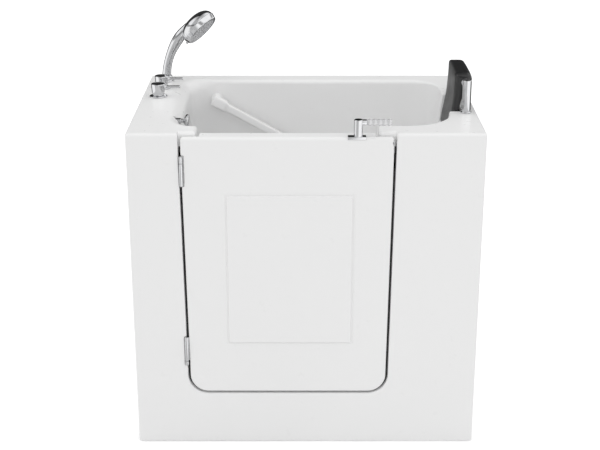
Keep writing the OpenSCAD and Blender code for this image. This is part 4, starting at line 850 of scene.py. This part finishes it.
# %% Posts, rings and bushes
POSTS = [(463, -121, 0), (463, 121, 0)]
post_line = soften([
    (0, DECK - 18), (6, DECK - 18), (6, DECK - 1), (13, DECK - 1), (13, 1048.6), (11.8, 1050),
    (0, 1050)], 0.9)
piece("chrome_posts", [lathe(post_line, place) for place in POSTS], "headrest_posts")
ring_line = soften([
    (13.15, DECK + 0.05), (15.5, DECK + 0.05), (15.5, 956.4), (14.6, 957.4), (13.15, 957.4),
    (13.15, DECK + 0.05)], 0.5)
piece("post_rings", [lathe(ring_line, place) for place in POSTS], "headrest_base_rings")
bush = soften([
    (5.2, 96), (8, 96), (8, 97.2), (11.2, 97.3), (12, 98.4), (12, 106.4), (11.2, 107.4), (5.2, 107.4),
    (5.2, 96)], 0.5)
both_bushes = [lathe(bush * [1, end], (460.5, 0, 1038), "y", 48) for end in (-1, 1)]
piece("pad_bushes", both_bushes, "headrest_hubs")

# %% [markdown]
# ## The grab bar
# The grab bar is white like the shell. It slopes down along the back wall between two thicker feet.
# Its section is a soft square, so it shows a bright upper band and a darker lower one, as a plain
# round bar would not.

# %% Grab bar
BAR_A, BAR_B = np.array([-280.5, 232.0, 894.0]), np.array([67.6, 232.0, 697.0])
OVERHANG, CAP = 17, 7
between_feet = np.linalg.norm(BAR_B - BAR_A)
overhang = OVERHANG * (BAR_B - BAR_A) / between_feet
s = np.linspace(0, 1, 90)
line = (BAR_A - overhang)[None] + s[:, None] * ((BAR_B + overhang) - (BAR_A - overhang))[None]
from_end = np.minimum(s, 1 - s) * (between_feet + 2 * OVERHANG)
thick = 17.5 - 5.0 * rising(from_end, 47, 56)
rounding = CAP * (1 - np.sqrt(np.clip(1 - (1 - np.clip(from_end / 9, 0, 1)) ** 2, 0, 1)))
wide, deep = (np.maximum(half - rounding, 0) * (from_end > 0) for half in (thick, thick - 3))
bar = sweep(line, wide, deep, power=3.6, sides=48)
foot = soften([(0, 224), (15, 224), (17, 232), (17, 262), (20, 264.5), (20, 269.6), (0, 269.6)], 3)
feet = [lathe(foot, (p[0], 0, p[2]), "y") for p in (BAR_A, BAR_B)]
piece("white_grab_bar", [bar, *feet], "grab_bar", finish="acrylic", crease=60)

# %% [markdown]
# ## The latch
# The door is locked from inside by a lever on its top edge: a post on a small plate, with an arm and
# a ribbed grip, whose five waves are a cosine along its length. Under the plate the spindle ends in a
# finger that pushes the bolt.

# %% Latch plate, lever and grip
LATCH, ARM_Z, GRIP_LENGTH, WAVES = (143.0, -335.0), 984, 68, 5
piece("latch_plate", [soft_block((114, -345, 936), (165, -323, 945), 2.0)], "latch_base")
post = soften([(0, 945.4), (12.5, 945.4), (12.5, 990), (11, 992), (0, 992)], 1.0)
spindle = soften([(0, 908.3), (4.4, 908.3), (4.4, 946), (0, 946)], 0.4)
arm = soften([(0, 0), (8.1, 0), (8.1, 22.8), (5, 22.8), (5, 89), (0, 89)], 0.7)
finger = soft_block((139.2, -337, 908.2), (146.8, -314.2, 921.8), 2.6)
upright = [lathe(post, (*LATCH, 0)), lathe(spindle, (*LATCH, 0), sides=32)]
piece("latch_arm", [*upright, lathe(arm, (*LATCH, ARM_Z), "x", 48), finger], "latch_lever")
along = np.linspace(0, GRIP_LENGTH, 90)
wave = 9.3 - 1.6 * (1 + np.cos(2 * np.pi * WAVES * along / GRIP_LENGTH)) / 2
tip = [(7.4, 67.4), (4.0, 68), (0, 68), (0, 66.5), (5.2, 66.5), (5.2, 0.3)]
grip = np.concatenate([[(5.2, 0.3), (7.4, 0.3)], np.stack([wave, along], -1)[2:-3], tip])
grip = lathe(grip, (LATCH[0] + 23, LATCH[1], ARM_Z), "x")
piece("ribbed_grip", [grip], "latch_grip", finish="grip_plastic")

# %% [markdown]
# ## The hinges
# Two lift-off hinges show only their barrels. The long knuckle turns with the door, the short one
# stays on the tub, and a pin with a low head runs through both. The leaves lie hidden in the gap.

# %% Hinge barrels and leaves
HINGES = {
    "upper": {"frame": ((869.3, 888.0), -350.89), "door": ((804.0, 867.9), -346.59), "pin": (802.2, 889.8)},
    "lower": {"frame": ((256.0, 266.6), -343.95), "door": ((268.0, 342.0), -339.65), "pin": (254.2, 343.8)},
}
LEAF, LEAF_BACK, STEP_FRONT, STEP_BACK, TRIM = 2.2, -327.4, -340.2, -336.4, 0.4


def knuckle(z0, z1):
    """A short tube about the hinge's axis with eased ends and a bore for the pin."""
    return lathe(soften([(2.6, z0), (5, z0), (5, z1), (2.6, z1), (2.6, z0)], 0.5), (*HINGE, 0), sides=40)


def pin_profile(z0, z1):
    """A thin rod from z0 to z1 with a low round head at either end."""
    head = [(0, 0), (3.8, 0), (4.5, 0.8), (4.5, 1.6), (2.4, 1.7)]
    return soften([(r, z0 + h) for r, h in head] + [(r, z1 - h) for r, h in head[::-1]], 0.3)


for which, parts in HINGES.items():
    for side in ("frame", "door"):
        (foot_z, top_z), x0 = parts[side]
        z0, z1, x1 = foot_z + TRIM, top_z - TRIM, x0 + LEAF
        leaf = soft_block((x0, -340.4, z0), (x1, LEAF_BACK, z1), 0.5)
        step_x = min(x0, HINGE[0] - 1.5), max(x1, HINGE[0] + 1.5)
        step = soft_block((step_x[0], STEP_FRONT, z0), (step_x[1], STEP_BACK, z1), 0.5)
        barrel = [knuckle(foot_z, top_z), leaf, step]
        piece(f"{which}_{side}_knuckle", barrel, f"{which}_{side}_leaf")
    pin = lathe(pin_profile(*parts["pin"]), (*HINGE, 0), sides=40)
    piece(f"{which}_pin", [pin], f"{which}_hinge_pin")

# %% [markdown]
# The door's seal ends a little below its top edge. Two short pieces carry it on to where the gap
# opens out at the rounded corners, so that the gap turns dark as high up as in the photograph.

# %% Upper ends of the seal
lo, hi = (np.array(v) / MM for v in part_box("door_seal"))
ends = [soft_block((x0, lo[1], hi[2] - 80), (x0 + 9, hi[1], hi[2] - 18), 0.8) for x0 in (-350.6, 238.7)]
piece("seal_ends", ends, finish="seal_rubber", body="tub")

# %% [markdown]
# ## Drain and overflow
# The waste has a chrome flange and a plug. The knob on the tap-end wall turns to lift the plug, and
# looks like a small mushroom on a stem with a ring at the wall.

# %% Flange, plug, knob and ring
KNOB_X, RING_X = -351.5, -377.5
flange = soften([
    (20, 151), (20, 128), (23, 128), (23, 150.05), (35, 150.05), (35, 151.4), (32, 152.6), (22, 151.8),
    (20, 151)], 0.7)
piece("waste_flange", [lathe(flange, (WASTE_X, 0, 0))], "drain_flange")
stem_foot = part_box("drain_plug")[0][2] / MM
plug = soften([
    (0, stem_foot), (4, stem_foot), (4, 152.6), (20, 152.9), (24, 153.4), (23.2, 155.2), (18, 156.6),
    (0, 156.8)], 0.8)
piece("waste_plug", [lathe(plug, (WASTE_X, 0, 0))], "drain_plug")
knob = soften([
    (0, -16), (6, -16), (6, -1), (8, 0), (18.4, 7.4), (19.5, 9.6), (19.5, 12.6), (16.4, 15.3), (9, 15.8),
    (0, 15.5)], 1.4)
knob[0, 1] = knob[1, 1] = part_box("drain_knob")[0][0] / MM - KNOB_X
piece("overflow_knob", [lathe(knob, (KNOB_X, OVERFLOW_Y, OVERFLOW_Z), "x")], "drain_knob")
ring = soften([(6.4, 0), (8, 0), (8, 17.4), (7.4, 18.2), (6.4, 18.2), (6.4, 0)], 0.4)
piece("overflow_ring", [lathe(ring, (RING_X, OVERFLOW_Y, OVERFLOW_Z), "x")], "overflow_collar")

# %% [markdown]
# ## The studio
# The photograph has a plain white background, but chrome needs something to mirror, or it looks like
# grey paint. The Light Path node tells which kind of ray asks, so mirrored rays see another room:
# bright low down, darker overhead, with dark upright strips. An upright post mirrors the floor, so the
# floor has strips of its own. Soft light comes a little more from above than from the sides.


# %% Strips that chrome mirrors
def ramp(tree, source, stops):
    """A colour ramp through (position, grey) pairs."""
    made = node(tree, "ValToRGB", [("Fac", source)])
    ends = made.color_ramp.elements
    for element, (position, grey) in zip(ends, (stops[0], stops[-1])):
        element.position, element.color = position, (grey, grey, grey, 1)
    for position, grey in stops[1:-1]:
        ends.new(position).color = (grey, grey, grey, 1)
    return made.outputs["Color"]


BEFORE = [(0.0, 0.95), (0.083, 0.95), (0.111, 0.5), (0.242, 0.5), (0.278, 1.0)]
AFTER = [(0.905, 0.04), (0.935, 0.9), (1.0, 0.95)]
PALE_GAP = [(0.73, 0.04), (0.742, 0.45), (0.768, 0.45), (0.78, 0.04)]
ON_THE_FLOOR = BEFORE + [(0.472, 1.0), (0.514, 0.04)] + PALE_GAP + AFTER
ON_THE_WALLS = BEFORE + [(0.65, 1.0), (0.69, 0.04)] + AFTER
print("strips at", [position for position, _ in ON_THE_WALLS])

# %% Floor
floor_mesh = bpy.data.meshes.new("floor")
floor_mesh.from_pydata([(-9, -9, 0), (9, -9, 0), (9, 9, 0), (-9, 9, 0)], [], [(0, 1, 2, 3)])
floor = bpy.data.objects.new("floor", floor_mesh)
bpy.context.scene.collection.objects.link(floor)
floor_finish = bpy.data.materials.new("pale_floor")
floor_finish.use_nodes = True
tree = floor_finish.node_tree
floor_shader = tree.nodes["Principled BSDF"]
paint = {"Base Color": 0.86, "Roughness": 0.9, "Specular IOR Level": 0.0, "Emission Color": 1.0}
for socket, value in paint.items():
    feed(tree, floor_shader.inputs[socket], value)
ray = node(tree, "LightPath").outputs
feed(tree, floor_shader.inputs["Emission Strength"], worked_out(tree, "MULTIPLY", ray["Is Camera Ray"], 0.4))
on_floor = node(tree, "TexCoord").outputs["Object"]
bearing = node(tree, "TexGradient", [("Vector", on_floor)], gradient_type="RADIAL").outputs["Fac"]
in_chrome = node(tree, "Emission", [("Color", ramp(tree, bearing, ON_THE_FLOOR))], Strength=1.0)
choice = [(0, ray["Is Glossy Ray"]), (1, floor_shader.outputs[0]), (2, in_chrome.outputs[0])]
either = node(tree, "MixShader", choice).outputs[0]
feed(tree, tree.nodes["Material Output"].inputs["Surface"], either)
floor_mesh.materials.append(floor_finish)
print("floor of", tuple(floor.dimensions), "metres")

# %% Sky
LEVELS_OF_GREY = [
    (0.0, 0.9), (0.5, 1.0), (0.6, 1.0), (0.64, 0.35), (0.69, 0.35), (0.73, 1.0), (0.9, 0.9), (1.0, 0.3)]
FROM_SIDES, FROM_ABOVE = 0.728, 1.138
world = bpy.data.worlds.new("studio")
bpy.context.scene.world = world
world.use_nodes = True
world.cycles.sampling_method = "NONE"
sky = world.node_tree
background = sky.nodes["Background"]
direction = node(sky, "TexCoord").outputs["Generated"]
height = node(sky, "SeparateXYZ", [("Vector", direction)]).outputs["Z"]


def from_height(lowest, highest, at_lowest, at_highest):
    """A value that changes evenly between two heights of the sky, and stays the same beyond them."""
    return node(
        sky, "MapRange", [("Value", height)],
        From_Min=lowest, From_Max=highest, To_Min=at_lowest, To_Max=at_highest).outputs["Result"]


bearing = node(sky, "TexGradient", [("Vector", direction)], gradient_type="RADIAL").outputs["Fac"]
level = ramp(sky, from_height(-1.0, 1.0, 0.0, 1.0), LEVELS_OF_GREY)
mirrored = blend(sky, 1.0, level, ramp(sky, bearing, ON_THE_WALLS), "MULTIPLY")
paler_gap = ramp(sky, bearing, [(0.74, 0.0), (0.755, 0.45), (0.8, 0.45), (0.815, 0.0)])
low_down = from_height(0.06, 0.2, 1.0, 0.0)
mirrored = blend(sky, low_down, mirrored, blend(sky, 1.0, mirrored, paler_gap, "LIGHTEN"))
ray = node(sky, "LightPath").outputs
plain = blend(sky, ray["Is Diffuse Ray"], 1.0, from_height(0.0, 1.0, FROM_SIDES, FROM_ABOVE))
feed(sky, background.inputs["Color"], blend(sky, ray["Is Glossy Ray"], plain, mirrored))
background.inputs["Strength"].default_value = 1.0
print("soft light of", FROM_SIDES, "from the sides and", FROM_ABOVE, "from above")
